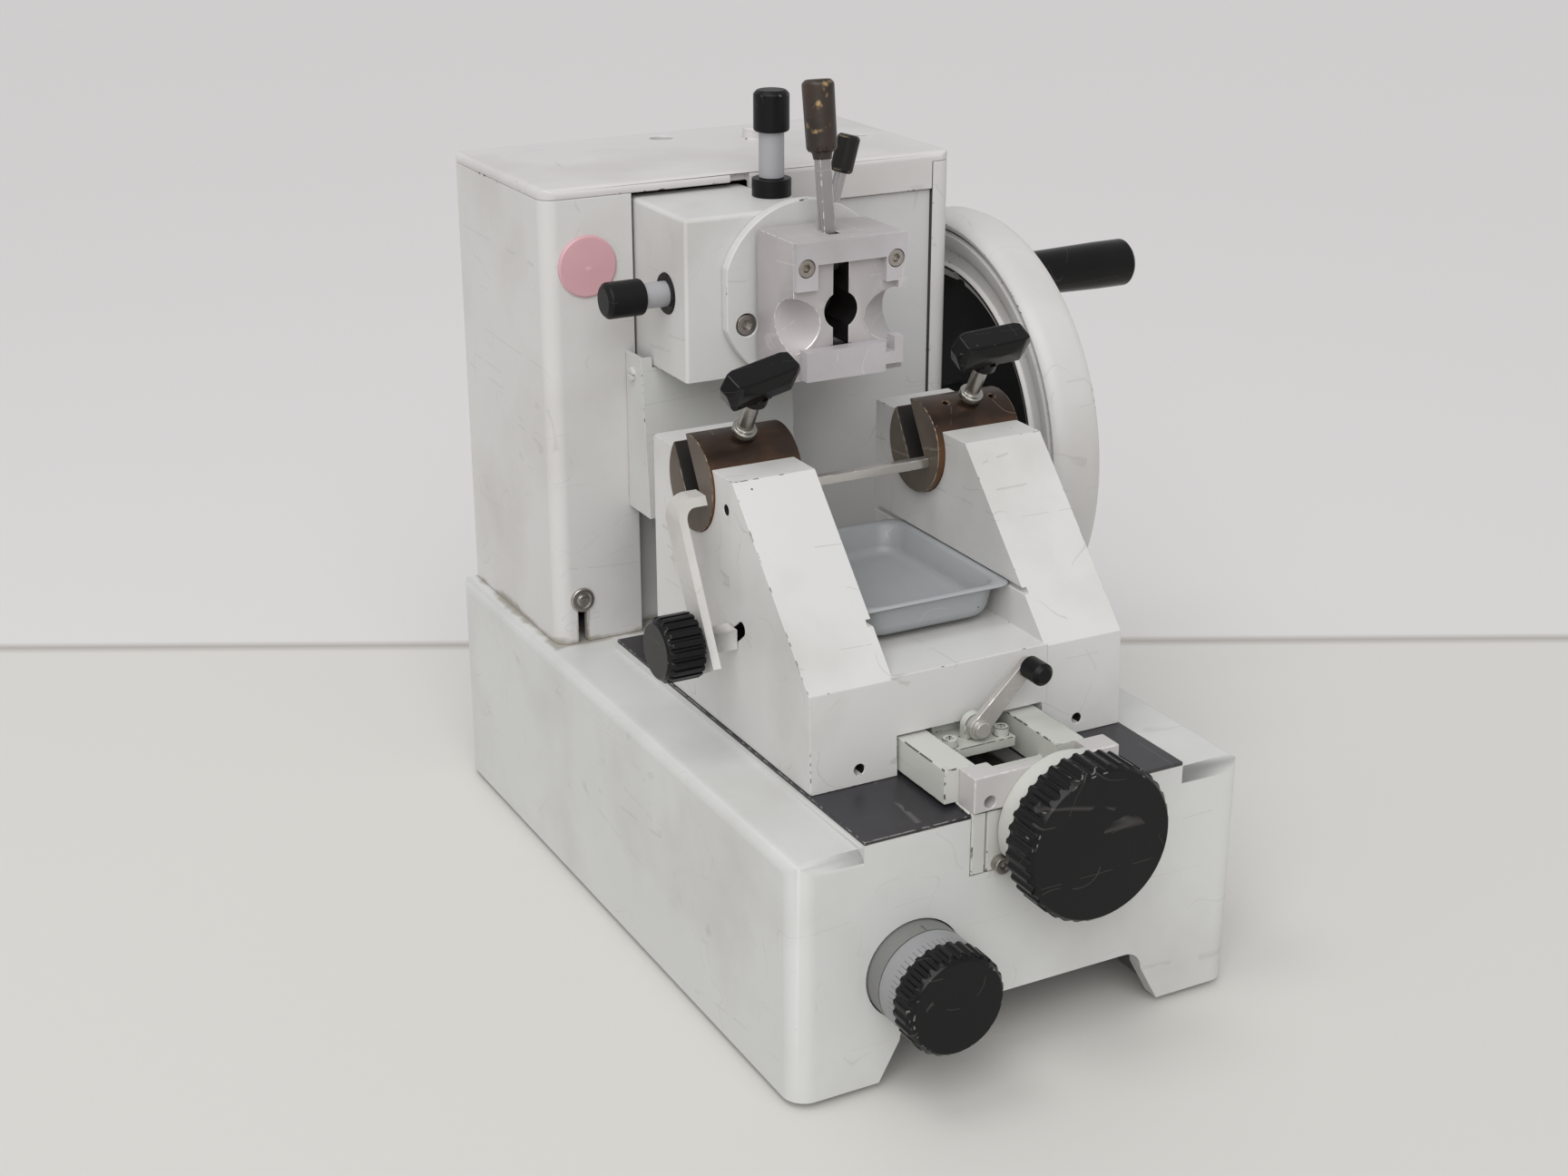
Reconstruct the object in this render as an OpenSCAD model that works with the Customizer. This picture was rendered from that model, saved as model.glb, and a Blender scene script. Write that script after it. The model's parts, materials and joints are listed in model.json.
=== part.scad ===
// Rotary microtome: a cast base with a housing tower, a crank-driven vertical slide that
// carries a feeding specimen head, and a knife holder that slides on a raised way.
// Millimetres, +Z up. Origin: centre of the base footprint on the bench plane.
// The operator stands on the -Y side and the handwheel is on the +X side.

/* [Base casting] */
// Width of the base across the front
base_w = 200; // [190:1:225]
// Length of the base from front to back
base_l = 333; // [325:1:350]
// Height of the base shoulder above the bench
base_h = 101; // [98:1:110]
// Wall thickness of the base casting
base_wall = 7; // [5:0.5:9]
// Radius of the upright corners of the base
base_corner_r = 9; // [5:1:14]
// Radius of the top edges of the base
base_edge_r = 5; // [2:0.5:7]
// Height of the rubber pads under the base
pad_h = 3; // [2:0.5:5]
// Diameter of the rubber pads
pad_d = 22; // [16:1:28]
// Width of the front arch where it meets the bench
arch_foot_w = 129; // [110:1:140]
// Width of the front arch at its crown
arch_top_w = 101; // [80:1:108]
// Height of the front arch
arch_h = 24; // [12:1:30]

/* [Slide way] */
// Width of the raised way on the base
way_w = 141; // [138:1:150]
// Height of the way above the base shoulder
way_h = 4.6; // [3:0.2:7]
// Thickness of the dark way plate
way_plate_t = 1.5; // [1:0.25:2.5]
// Offset of the way and knife holder from the middle of the base
way_x = -1; // [-3:0.5:1]
// Width of the slot in the way for the feed nut
way_slot_w = 16; // [14:1:20]

/* [Tower] */
// Width of the tower housing
tower_w = 196; // [190:1:204]
// Depth of the tower housing
tower_d = 104; // [100:1:112]
// Offset of the tower from the middle of the base
tower_x = 5; // [2:0.5:6]
// Height of the tower cover's top edge above the bench
tower_top = 296; // [292:1:304]
// Sheet thickness of the tower cover
cover_t = 3.5; // [2.5:0.25:5]
// Radius of the tower's upright corners
tower_corner_r = 7; // [4:1:10]
// Thickness of the tower lid
lid_t = 4.5; // [3:0.5:7]
// Depth of the lid's front skirt below the cover's top edge
skirt_h = 12; // [8:1:16]
// Gap between the tower cover and the head block's left face
head_side_gap = 1; // [0.5:0.25:2]
// Width of the cover's right front strip
cover_right_w = 10; // [8:0.5:14]
// Thickness of the fixed front panels
panel_t = 1.5; // [1:0.25:2.25]
// Depth of the right front panel behind the cover's front
panel_recess = 2; // [1:0.25:2.5]
// Diameter of the blank disc on the cover
badge_d = 26; // [20:1:32]

/* [Specimen head] */
// Height of the specimen axis at the top of the stroke
head_z = 260; // [257:1:262]
// Distance from the tower's front to the head's front face
head_reach = 48; // [46:1:52]
// Height of the head block
head_h = 67.5; // [66:0.5:69]
// Distance from the specimen axis to the head block's left face
head_left = 52; // [50:0.5:52.5]
// Distance from the specimen axis to the head block's right face
head_right = 8; // [6:0.5:12]
// Depth of the head block's tail inside the tower
head_tail = 9.5; // [8:0.5:10]
// Travel of the head back towards the tower
head_travel = 6; // [4:0.5:8]
// Radius of the round front flange
flange_r = 38; // [37:0.5:39]
// Distance between the flats of the front flange
flange_flats = 72; // [70:0.5:74]
// Thickness of the front flange
flange_t = 5; // [4:0.5:6]
// Bore radius of the front flange
flange_bore_r = 19; // [17:0.5:20]
// Radius of the cavity behind the flange
cavity_r = 26; // [25.8:0.1:26.4]
// Length of the feed quill behind the head block
quill_l = 46; // [44:0.5:47]
// Radius of the feed quill
quill_r = 16; // [14:0.5:17]

/* [Orientation] */
// Outer radius of the gimbal ring
gimbal_r = 24; // [23:0.25:24.4]
// Width of the gimbal ring along the specimen axis
gimbal_w = 12; // [10:0.5:12]
// Distance from the head's front face to the gimbal centre
gimbal_y = 13.5; // [13:0.25:14]
// Radius of the gimbal ring's trunnions
trunnion_r = 3; // [2.5:0.25:3.5]
// Radius of the tilt block's pivots
pivot_r = 2.5; // [2:0.25:3]
// Radius of the tilt block
tilt_block_r = 14.5; // [13:0.25:15]
// Radius of the neck that carries the clamp
neck_r = 11; // [9:0.5:12]
// Outer radius of the locking ring
lock_ring_r = 25.6; // [25:0.1:25.7]
// Diameter of the grey stems of the orientation knobs
stem_d = 10.6; // [9:0.2:11]
// Diameter of the black caps of the orientation knobs
cap_d = 15; // [13:0.5:17]
// Diameter of the black collar under the top knob
collar_d = 16.5; // [16:0.5:18]

/* [Specimen clamp] */
// Width of the clamp block
clamp_w = 50; // [46:1:51]
// Depth of the clamp block
clamp_d = 30.6; // [29:0.2:31]
// Height of the clamp block
clamp_h = 56; // [54:0.5:57]
// Height of the upper jaw bar
upper_jaw_h = 9; // [8:0.5:10]
// How far the jaws stand proud of the block
jaw_proud = 3; // [2:0.5:3.5]
// Gap between the clamp and the flange
clamp_gap = 3.4; // [3.2:0.1:4]
// Sideways offset of the clamp block from the specimen axis
clamp_x = 1; // [0:0.5:1]
// Width of the clamp's centre slot
clamp_slot_w = 7; // [6:0.5:8]
// Radius of the clamp's round seat
clamp_hole_r = 7.5; // [6.5:0.5:8.5]
// Radius of the scoops across the clamp's front edges
scoop_r = 11.5; // [10:0.5:12]
// Height of the lower jaw bar
lower_jaw_h = 12; // [10:0.5:13]
// Diameter of the jaw lever's grip
jaw_grip_d = 13; // [11:0.5:15]
// Diameter of the locking lever's grip
lock_grip_d = 9.5; // [8:0.5:10.5]

/* [Knife holder] */
// Width of the knife holder
holder_w = 139.6; // [136:0.2:141]
// Length of the way left open in front of the knife holder
deck_l = 41; // [39:0.5:44]
// Distance from the tower's front to the holder's back
holder_back = 55; // [54.5:0.25:57]
// Height of the knife holder's cheeks above the bench
cheek_top = 210; // [207:0.5:212]
// Distance between the cheeks
cheek_gap = 68; // [64:1:70]
// Height of the apron between the cheeks
apron_top = 146; // [142:1:148]
// Height of the knife axis above the bench
knife_z = 200; // [198:0.5:201]
// Distance from the holder's back to the knife axis
knife_back = 36; // [35:0.5:37]
// Radius of the knife jaws
jaw_r = 19.5; // [18:0.25:20]
// Width of the knife slot in the jaws
knife_slot_w = 12; // [10:0.5:13]
// Backward lean of the knife slot, degrees
knife_lean = 30; // [26:1:32]
// Side of the square knife rest bar
rest_bar = 4; // [3:0.25:4.5]
// Height of the waste tray's rim above the bench
tray_rim_z = 163; // [161:0.5:165]
// Depth of the waste tray below its rim
tray_h = 14.5; // [11:0.5:14.5]

/* [Knobs and feed] */
// Outer radius of the large feed knob
feed_knob_r = 31.5; // [28:0.5:33]
// Depth of the large feed knob
feed_knob_d = 16; // [14:0.5:24]
// Depth of the large feed knob's axis below the base shoulder
feed_drop = 3.5; // [3:0.25:4]
// Sideways place of the large feed knob's axis
feed_x = 11; // [10:0.5:12]
// Outer radius of the section thickness knob
dial_knob_r = 20.7; // [18:0.5:22]
// Depth of the section thickness knob
dial_knob_d = 12; // [10:0.5:18]
// Radius of the grey thickness dial
dial_r = 20; // [18:0.5:20.5]
// Height of the thickness knob's axis above the bench
dial_z = 48; // [46:0.5:50]
// Distance from the middle of the base to the thickness knob
dial_x = 49.5; // [48:0.5:52]

/* [Crank drive] */
// Radius of the crank, half of the head's stroke
crank_r = 25; // [22:0.5:25]
// Height of the main shaft above the bench
shaft_z = 159; // [157:0.5:161]
// Distance from the tower's front to the main shaft
shaft_back = 38; // [37.5:0.25:40]
// Radius of the main shaft
shaft_r = 10; // [8:0.5:10]
// Outer radius of the handwheel
wheel_r = 104; // [98:1:106]
// Width of the handwheel's rim
wheel_w = 25; // [22:0.5:28]
// Gap between the tower and the handwheel
wheel_gap = 18; // [16:0.5:22]
// Radius at which the handle stands on the wheel
handle_r = 74.3; // [66:0.5:76]
// Length of the handle grip
handle_l = 71; // [60:1:80]
// Diameter of the handle grip
handle_d = 22.5; // [20:0.5:26]
// Radius of the vertical guide rods
rod_r = 7; // [6:0.25:7.5]
// Distance of the guide rods from the specimen axis
rod_x = 30; // [29.5:0.25:31]

/* [Hidden] */
$fn = 48;
run = 0.05;       // radial clearance of a shaft in its bore
face = 0.3;       // clearance between faces that pass each other
cut = 1;          // overshoot of a cutting tool

enamel = [0.86, 0.87, 0.85];
tower_enamel = [0.80, 0.80, 0.77];
charcoal = [0.22, 0.21, 0.23];
rubber_black = [0.06, 0.06, 0.06];
steel = [0.62, 0.62, 0.63];
satin = [0.78, 0.78, 0.79];
stem_grey = [0.62, 0.63, 0.66];
patina = [0.34, 0.25, 0.18];
cast = [0.42, 0.43, 0.44];
bronze = [0.66, 0.50, 0.28];

// Main planes
y_front = -base_l/2;
y_back = base_l/2;
way_top = base_h + way_h;
tower_front = y_back - tower_d;
tower_in = tower_front + cover_t;
tower_l = tower_x - tower_w/2;
tower_r = tower_x + tower_w/2;
open_l = -head_left - head_side_gap;
open_r = tower_r - cover_right_w;
skirt_l = head_right - 6;
tail_r = skirt_l - face;

// Head and clamp
head_front = tower_front - head_reach;
head_bot = head_z - head_h/2;
head_top = head_z + head_h/2;
head_back = tower_front + head_tail;
body_back = tower_front - head_travel - 0.5;
gimbal_c = head_front + gimbal_y;
cavity_back = gimbal_c + gimbal_w/2 + 7;
gimbal_bore_r = gimbal_r - 5.5;
lock_ring_t = 5.4;
lock_ring_y = head_front + 0.3;
lock_rod_r = 2.5;
lock_rod_tilt = 15.3;
lock_rod_base = [13.8, 21];
lock_rod_l = 25.5;
lock_swing = 35;
flange_front = head_front - flange_t;
clamp_back = flange_front - clamp_gap;
clamp_front = clamp_back - clamp_d;
clamp_l = clamp_x - clamp_w/2;
clamp_r = clamp_x + clamp_w/2;
clamp_top = head_z + 29;
clamp_bot = clamp_top - clamp_h;
clamp_slot_x = clamp_x - 3.5;
jaw_leg_w = 9.5;
jaw_leg_h = 10;
lower_jaw_z = clamp_bot + 1;
lower_jaw_w = 36;
jaw_lever_x = -1;
jaw_lever_w = 5.2;
jaw_lever_t = 5;
jaw_hub_r = 5;
jaw_lever_y = clamp_front + 13;
jaw_pivot_z = clamp_top - 11;
jaw_lever_lean = 8;
jaw_lever_l = 42;
jaw_grip_l = 28;
jaw_pin_r = 2;
jaw_swing = 16;

flange_screw_x = [-27, 27];
flange_screw_z = head_z - 11;
jaw_screw_x = [clamp_l + 4.6, clamp_r - 5];
jaw_screw_z = clamp_top - 10;

// Orientation knobs and the adjusting screws that they turn
top_knob_y = head_front + 26.5;
top_knob_x = 1;
left_knob_y = head_front + 18.5;
collar_h = 7.5;
top_stem_h = 19;
left_stem_l = 11;
cap_h = 17;
adjust_screw_r = 3;
bush_d = 17;

// Vertical slide
rod_y = shaft_back + tower_front + 17.5;
carriage_start = 33.5;
carriage_d = 42;
carriage_down = 36;
carriage_up = 25.5;
carriage_y = [tower_front + carriage_start, tower_front + carriage_start + carriage_d];
carriage_z = [head_z - carriage_down, head_z + carriage_up];
carriage_x = rod_x + 10;
bridge_z = head_z + 26.5;
bridge_t = 6;
column_foot = 8;
column_back = tower_front + 87.5;
column_t = 9;
quill_front = head_back;
quill_back = quill_front + quill_l;
spindle_r = 4;
spindle_back = column_back - 1.5;
ratchet_r = 20;
ratchet_t = 5;
ratchet_teeth = 40;
thrust_wall = 6;
pawl_at = [-27, 8];

// Crank train
shaft_y = tower_front + shaft_back;
disc_r = crank_r + 7;
pin_r = 5;
die_t = 12;
die_gap = 0.5;
disc_t = 10;
yoke_t = 8;
die_y = 14;
die_z = 20;
yoke_x = [carriage_x, carriage_x + yoke_t];
die_x = [yoke_x[1] + die_gap, yoke_x[1] + die_gap + die_t];
disc_x = [die_x[1] + die_gap, die_x[1] + die_gap + disc_t];
bearing_x = [disc_x[1] + 2, tower_r - 8];
yoke_rail = 7;
pin_z = shaft_z + crank_r;
wheel_l = tower_r + wheel_gap;
wheel_face = wheel_l + wheel_w;
wheel_in_r = wheel_r - 4;
wheel_bead_r = wheel_r - 24.5;
wheel_dish_r = wheel_r - 30;
wheel_web = 7;
hub_r = shaft_r + 9;
shaft_end = wheel_face - 8;
handle_angle = 99.5;
handle_y = shaft_y + handle_r*cos(handle_angle);
handle_z = shaft_z + handle_r*sin(handle_angle);
handle_axle_r = 5;
handle_start = wheel_face + 1.5;

// Knife holder
holder_y1 = tower_front - holder_back;
holder_y0 = y_front + deck_l;
holder_l_x = way_x - holder_w/2;
holder_r_x = way_x + holder_w/2;
gap_l = way_x - cheek_gap/2;
gap_r = way_x + cheek_gap/2;
knife_y = holder_y1 - knife_back;
cradle_r = jaw_r + 0.1;
holder_z0 = way_top + 0.1;
jaw_reach = 3;
jaw_l = [holder_l_x - 1, gap_l + jaw_reach];
jaw_rt = [gap_r - jaw_reach, holder_r_x + 1];
slot_below = 6;
wing_x = [way_x - 51, way_x + 53];
wing_lean = 30;
wing_offset = 3.5;
wing_seat = jaw_r + 1.2;
wing_stud_r = 3;
wing_w = 14;
wing_start = 38;
wing_body = [42, 50, 55];
wing_half = [14.5, 18.5, 15];
wing_turn = [14, 4];
wing_tip = 10.5;
arm_t = 3.4;
arm_x = [holder_l_x - 14.2, holder_l_x - 1];
arm_shelf_z = [-4.7, -1.3];
arm_bend = 8;
arm_knob_y = knife_y - 34;
arm_knob_z = knife_z - 52.6;
arm_stud_r = 2.5;
arm_spacer = 8;
arm_knob_r = 13;
arm_knob_l = 15.5;
arm_knob_x = arm_x[0] - 3.6;
knife_swing = 8;
rest_bar_y = knife_y - 10.5;
rest_bar_z = knife_z - 4;
tray_y = [holder_y0 + 29, holder_y1 - 20];
tray_rim_t = 1.6;
tray_wall = 1.8;
groove_d = 2.2;
cutout_x = [way_x - 32.4, way_x + 32.6];
cutout_d = 45;
cutout_top = way_top + 16.4;
nut_y = [holder_y0 + cutout_d + 2, holder_y0 + cutout_d + 15];

// Front feed
feed_z = base_h - feed_drop;
pocket_x = [feed_x - 37.6, feed_x + 26.4];
pocket_z = feed_z - 17;
pocket_d = 6.5;
arm_top = way_top + 15.4;
arm_bot = way_top + 1.6;
cross_y = [y_front - 1.9, y_front + 9];
bearing_r = 27;
feed_bearing_y = y_front - 13.5;
feed_screw_r = 5;
feed_screw_end = nut_y[1] + 35.5;
flute_depth = 1.2;
arm_in = holder_y0 + 15;
feed_web_top = way_top + 6.8;
lever_plate_z = [feed_web_top + 0.6, feed_web_top + 4.6];
lever_plate_y = [holder_y0 - 11.5, holder_y0 + 20];
lever_plate_x = [way_x - 18, way_x + 13];
lever_pivot = [way_x - 1.3, lever_plate_z[1] + 5];
lever_screw_x = [lever_plate_x[0] + 4, lever_plate_x[1] - 4];
lever_screw_y = holder_y0 - 7;
lever_lug_y = [holder_y0 - 5.5, holder_y0 - 1.5];
lever_y = [lever_lug_y[0] - 3.2, lever_lug_y[0] - 0.2];
clamp_lever_l = 30;
clamp_lever_angle = 46;
lever_button_r = 4.5;
lever_button_l = 11;

arm_in_x = [cutout_x[0] + 0.8, cutout_x[1] - 2.4];
bracket_screw_x = [pocket_x[0] + 12.2, pocket_x[1] - 1.5];
bracket_screw_z = pocket_z + 3.2;

// Cover details
cover_screw_x = tower_l + 11.7;
cover_screw_z = base_h + 20;
badge_at = [tower_l + 19, tower_top - 28.3];
lid_holes = [[2, y_back - 16, 5.2], [tower_r - 18, tower_front + 51, 3]];
peg_at = [38, y_back - 36];

// Thickness setting
dial_axis = -dial_x;
dial_front = y_front - 19;
dial_shaft_r = 5;
rib_y = [y_front + 176, y_front + 184];
cam_y = [rib_y[1] + 4, rib_y[1] + 12];

// ---------------------------------------------------------------- shared shapes

// A block given by its two ends along each axis
module slab(x, y, z)
    translate([x[0], y[0], z[0]]) cube([x[1] - x[0], y[1] - y[0], z[1] - z[0]]);

// Round bars along X, Y and Z
module bar_x(r, x, y, z) translate([x[0], y, z]) rotate([0, 90, 0]) cylinder(r = r, h = x[1] - x[0]);
module bar_y(r, x, y, z) translate([x, y[0], z]) rotate([-90, 0, 0]) cylinder(r = r, h = y[1] - y[0]);
module bar_z(r, x, y, z) translate([x, y, z[0]]) cylinder(r = r, h = z[1] - z[0]);

// A rectangle with four round corners, centred
module round_rect(w, d, r) {
    square([w - 2*r, d], center = true);
    square([w, d - 2*r], center = true);
    for (sx = [-1, 1], sy = [-1, 1]) translate([sx*(w/2 - r), sy*(d/2 - r)]) circle(r);
}

// A rectangle standing on its lower edge with its two top corners round
module round_top(w, h, r) {
    translate([-w/2, 0]) square([w, h - r]);
    translate([-w/2 + r, 0]) square([w - 2*r, h]);
    for (s = [-1, 1]) translate([s*(w/2 - r), h - r]) circle(r);
}

// A block with round upright corners and round top edges, as a casting has
module soft_block(x, y, z, corner, edge) {
    w = x[1] - x[0];
    d = y[1] - y[0];
    h = z[1] - z[0];
    translate([(x[0] + x[1])/2, (y[0] + y[1])/2, z[0]]) intersection() {
        linear_extrude(h) round_rect(w, d, corner);
        translate([0, d/2, 0]) rotate([90, 0, 0]) linear_extrude(d) round_top(w, h, edge);
        translate([-w/2, 0, 0]) rotate([90, 0, 90]) linear_extrude(w) round_top(d, h, edge);
    }
}

// A plate cut to an outline in the Y-Z plane, thick along X
module plate_x(x) translate([x[0], 0, 0]) rotate([90, 0, 90]) linear_extrude(x[1] - x[0]) children();

// A socket cap screw, head outwards along -Y, with the head's seat at y
module cap_screw_y(x, y, z, head_r, head_h, shank_r, shank_l) difference() {
    union() {
        bar_y(head_r, x, [y - head_h, y], z);
        bar_y(shank_r, x, [y - head_h, y + shank_l], z);
    }
    translate([x, y - head_h - cut, z]) rotate([-90, 0, 0])
        cylinder(r = head_r*0.52, h = head_h*0.6 + cut, $fn = 6);
}

// The outline of a fluted knob
module fluted(r, flutes, flute_r, depth) difference() {
    circle(r);
    for (i = [0:flutes - 1]) rotate(i*360/flutes)
        translate([r + flute_r - depth, 0]) circle(flute_r, $fn = 16);
}

// A fluted knob standing on the X-Y plane, with a bevelled face and a blind bore from below
module fluted_knob(r, d, flutes, bore) difference() {
    intersection() {
        linear_extrude(d) fluted(r, flutes, r*0.07, flute_depth);
        union() {
            cylinder(r = r, h = d - 2.5);
            translate([0, 0, d - 2.5]) cylinder(r1 = r, r2 = r - 2, h = 2.5);
        }
    }
    translate([0, 0, -cut]) cylinder(r = bore, h = d - 4 + cut);
}

// A plain round knob cap standing on the X-Y plane
module cap(d, h) rotate_extrude()
    polygon([[0, 0], [d/2 - 0.8, 0], [d/2, 0.8], [d/2, h - 1.6], [d/2 - 1.6, h], [0, h]]);

// ---------------------------------------------------------------- frame

module arch_outline() {
    r = 8;
    slope = (arch_foot_w - arch_top_w)/2;
    polygon([[-arch_foot_w/2, -cut], [arch_foot_w/2, -cut],
        [arch_top_w/2 + slope*r/arch_h, arch_h - r], [arch_top_w/2 - r + slope*r/arch_h, arch_h],
        [-arch_top_w/2 + r - slope*r/arch_h, arch_h], [-arch_top_w/2 - slope*r/arch_h, arch_h - r]]);
    for (s = [-1, 1]) translate([s*(arch_top_w/2 - r + slope*r/arch_h), arch_h - r]) circle(r);
}

module base_casting() color(enamel) {
    floor_z = base_h - base_wall;
    difference() {
        union() {
            soft_block([-base_w/2, base_w/2], [y_front, y_back], [pad_h, base_h], base_corner_r, base_edge_r);
            // raised way under the dark plate
            slab([way_x - way_w/2, way_x + way_w/2], [y_front, tower_front - 14],
                [base_h - base_edge_r - cut, way_top - way_plate_t]);
        }
        difference() {
            // open underside
            translate([0, 0, pad_h - cut]) linear_extrude(floor_z - pad_h + cut)
                round_rect(base_w - 2*base_wall, base_l - 2*base_wall, base_corner_r - 3);
            // cross rib that carries the thickness shaft, corner posts over the pads and the
            // wall behind the feed bracket
            slab([-base_w/2, base_w/2], rib_y, [pad_h + arch_h, base_h]);
            for (sx = [-1, 1], sy = [-1, 1])
                slab([sx*(base_w/2 - 16) - 16, sx*(base_w/2 - 16) + 16],
                    [sy*(base_l/2 - 16) - 16, sy*(base_l/2 - 16) + 16], [pad_h, base_h]);
            slab([pocket_x[0] - 8, pocket_x[1] + 8], [y_front, y_front + pocket_d + 8],
                [pocket_z - 10, base_h]);
            slab([feed_x - 12, feed_x + 12], [feed_screw_end - 8, feed_screw_end + 4], [feed_z - 14, base_h]);
        }
        // arch between the front feet
        translate([0, y_front + base_wall + cut, pad_h]) rotate([90, 0, 0])
            linear_extrude(base_wall + 2*cut) arch_outline();
        // seat of the thickness dial and bore of its shaft
        bar_y(dial_r + 0.6, dial_axis, [y_front - cut, y_front + base_wall + cut], dial_z);
        bar_y(dial_shaft_r + run, dial_axis, [rib_y[0] - cut, rib_y[1] + cut], dial_z);
        // seat of the feed bracket in the front face
        slab(pocket_x, [y_front - cut, y_front + pocket_d], [pocket_z, way_top + cut]);
        // slot through the way for the feed nut, and room for the feed screw
        slab([feed_x - way_slot_w/2, feed_x + way_slot_w/2],
            [y_front + pocket_d - cut, feed_screw_end - 8], [floor_z - 12, way_top + cut]);
        bar_y(feed_screw_r - 1 + run, feed_x, [feed_screw_end - 9, feed_screw_end + cut], feed_z);
        // sockets of the feed bracket's screws
        for (x = bracket_screw_x) bar_y(2.1, x, [y_front, y_front + pocket_d + 9], bracket_screw_z);
    }
}

module rubber_pads() color(rubber_black)
    for (sx = [-1, 1], sy = [-1, 1])
        bar_z(pad_d/2, sx*(base_w/2 - 16), sy*(base_l/2 - 16), [0, pad_h]);

module way_plate() color(charcoal) difference() {
    slab([way_x - way_w/2, way_x + way_w/2], [y_front, tower_front - 14], [way_top - way_plate_t, way_top]);
    slab([feed_x - way_slot_w/2, feed_x + way_slot_w/2],
        [y_front + pocket_d - cut, feed_screw_end - 8], [base_h, way_top + cut]);
    slab(pocket_x, [y_front - cut, y_front + pocket_d], [base_h, way_top + cut]);
}

module tower_cover() color(tower_enamel) {
    inner = tower_corner_r - cover_t;
    difference() {
        translate([tower_x, y_back - tower_d/2, base_h]) linear_extrude(tower_top - base_h)
            difference() {
                round_rect(tower_w, tower_d, tower_corner_r);
                round_rect(tower_w - 2*cover_t, tower_d - 2*cover_t, max(inner, 1));
            }
        // front opening for the head and the fixed panels
        slab([open_l, open_r], [tower_front - cut, tower_in + cut], [base_h - cut, tower_top + cut]);
        // hole for the main shaft
        bar_x(shaft_r + 2, [tower_r - cover_t - cut, tower_r + cut], shaft_y, shaft_z);
        // slot and hole of the front fastening
        slab([cover_screw_x - 2, cover_screw_x + 2], [tower_front - cut, tower_in + cut],
            [base_h - cut, cover_screw_z]);
        bar_y(2.2, cover_screw_x, [tower_front - cut, tower_in + cut], cover_screw_z);
    }
}

module tower_lid() color(tower_enamel) {
    difference() {
        union() {
            soft_block([tower_l, tower_r], [tower_front, y_back], [tower_top, tower_top + lid_t],
                tower_corner_r, 3);
            slab([skirt_l, open_r - 0.3], [tower_front, tower_in], [tower_top - skirt_h, tower_top + 1]);
        }
        // oil holes and the notch over the head block
        for (at = lid_holes) bar_z(at[2], at[0], at[1], [tower_top - cut, tower_top + lid_t + cut]);
        slab([skirt_l - 9, skirt_l], [tower_front - cut, tower_front + 3], [tower_top - cut, tower_top + lid_t - 1.5]);
    }
    // grey peg
    bar_z(4.2, peg_at[0], peg_at[1], [tower_top + lid_t, tower_top + lid_t + 5]);
}

module front_panel() color(tower_enamel)
    slab([skirt_l, open_r - 0.3], [tower_front + panel_recess, tower_front + panel_recess + panel_t],
        [base_h, tower_top - skirt_h - 0.4]);

module lower_shield() color(tower_enamel)
    slab([open_l + 3, head_right - 1], [head_back + 1, head_back + 1 + panel_t],
        [base_h, head_bot - 2*crank_r - 4]);

module blank_badge() color("pink")
    translate([badge_at[0], tower_front, badge_at[1]]) rotate([90, 0, 0]) rotate_extrude()
        polygon([[0, 0], [badge_d/2, 0], [badge_d/2, 0.8], [badge_d/2 - 0.8, 1.3], [0, 1.6]]);

// Front fastening of the cover: a slotted screw in a cup washer, and two like it behind
module cover_screws() color(steel) {
    difference() {
        translate([cover_screw_x, tower_front, cover_screw_z]) rotate([90, 0, 0]) {
            rotate_extrude() polygon([[2.4, 0], [5.6, 0], [5.2, 1.2], [3.6, 1.2], [3.6, 0.6], [2.4, 0.6]]);
            cylinder(r = 2.4, h = 1.6);
            translate([0, 0, -cover_t - 6]) cylinder(r = 2, h = cover_t + 6.2);
        }
        slab([cover_screw_x - 3, cover_screw_x + 3], [tower_front - 2, tower_front - 1],
            [cover_screw_z - 0.4, cover_screw_z + 0.4]);
    }
    for (x = [tower_l + 20, tower_r - 20]) difference() {
        bar_y(4, x, [y_back, y_back + 1.8], base_h + 20);
        slab([x - 5, x + 5], [y_back + 1, y_back + 3], [base_h + 19.6, base_h + 20.4]);
    }
}

// Cast column bolted to the base: foot, back wall, bearing wall and top bridge
module inner_column() color(cast) difference() {
    union() {
        slab([-carriage_x - 6, bearing_x[1]], [tower_front + 14, column_back + column_t], [base_h, base_h + column_foot]);
        slab([-carriage_x - 6, bearing_x[1]], [column_back, column_back + column_t], [base_h, bridge_z + bridge_t]);
        slab([bearing_x[0], bearing_x[1] - 6], [tower_front + 14, column_back + cut], [base_h, shaft_z + 26]);
        bar_x(shaft_r + 12, bearing_x, shaft_y, shaft_z);
        slab([-carriage_x, carriage_x], [rod_y - 12, column_back + cut], [bridge_z, bridge_z + bridge_t]);
    }
    bar_x(shaft_r + 5, [bearing_x[0] - cut, bearing_x[1] + cut], shaft_y, shaft_z);
    for (s = [-1, 1]) bar_z(rod_r, s*rod_x, rod_y, [base_h + 3, bridge_z + bridge_t + cut]);
}

module guide_rods() color(steel)
    for (s = [-1, 1]) bar_z(rod_r, s*rod_x, rod_y, [base_h + 3, bridge_z + bridge_t]);

module shaft_bush() color(bronze) difference() {
    bar_x(shaft_r + 5, bearing_x, shaft_y, shaft_z);
    bar_x(shaft_r + run, [bearing_x[0] - cut, bearing_x[1] + cut], shaft_y, shaft_z);
}

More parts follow.
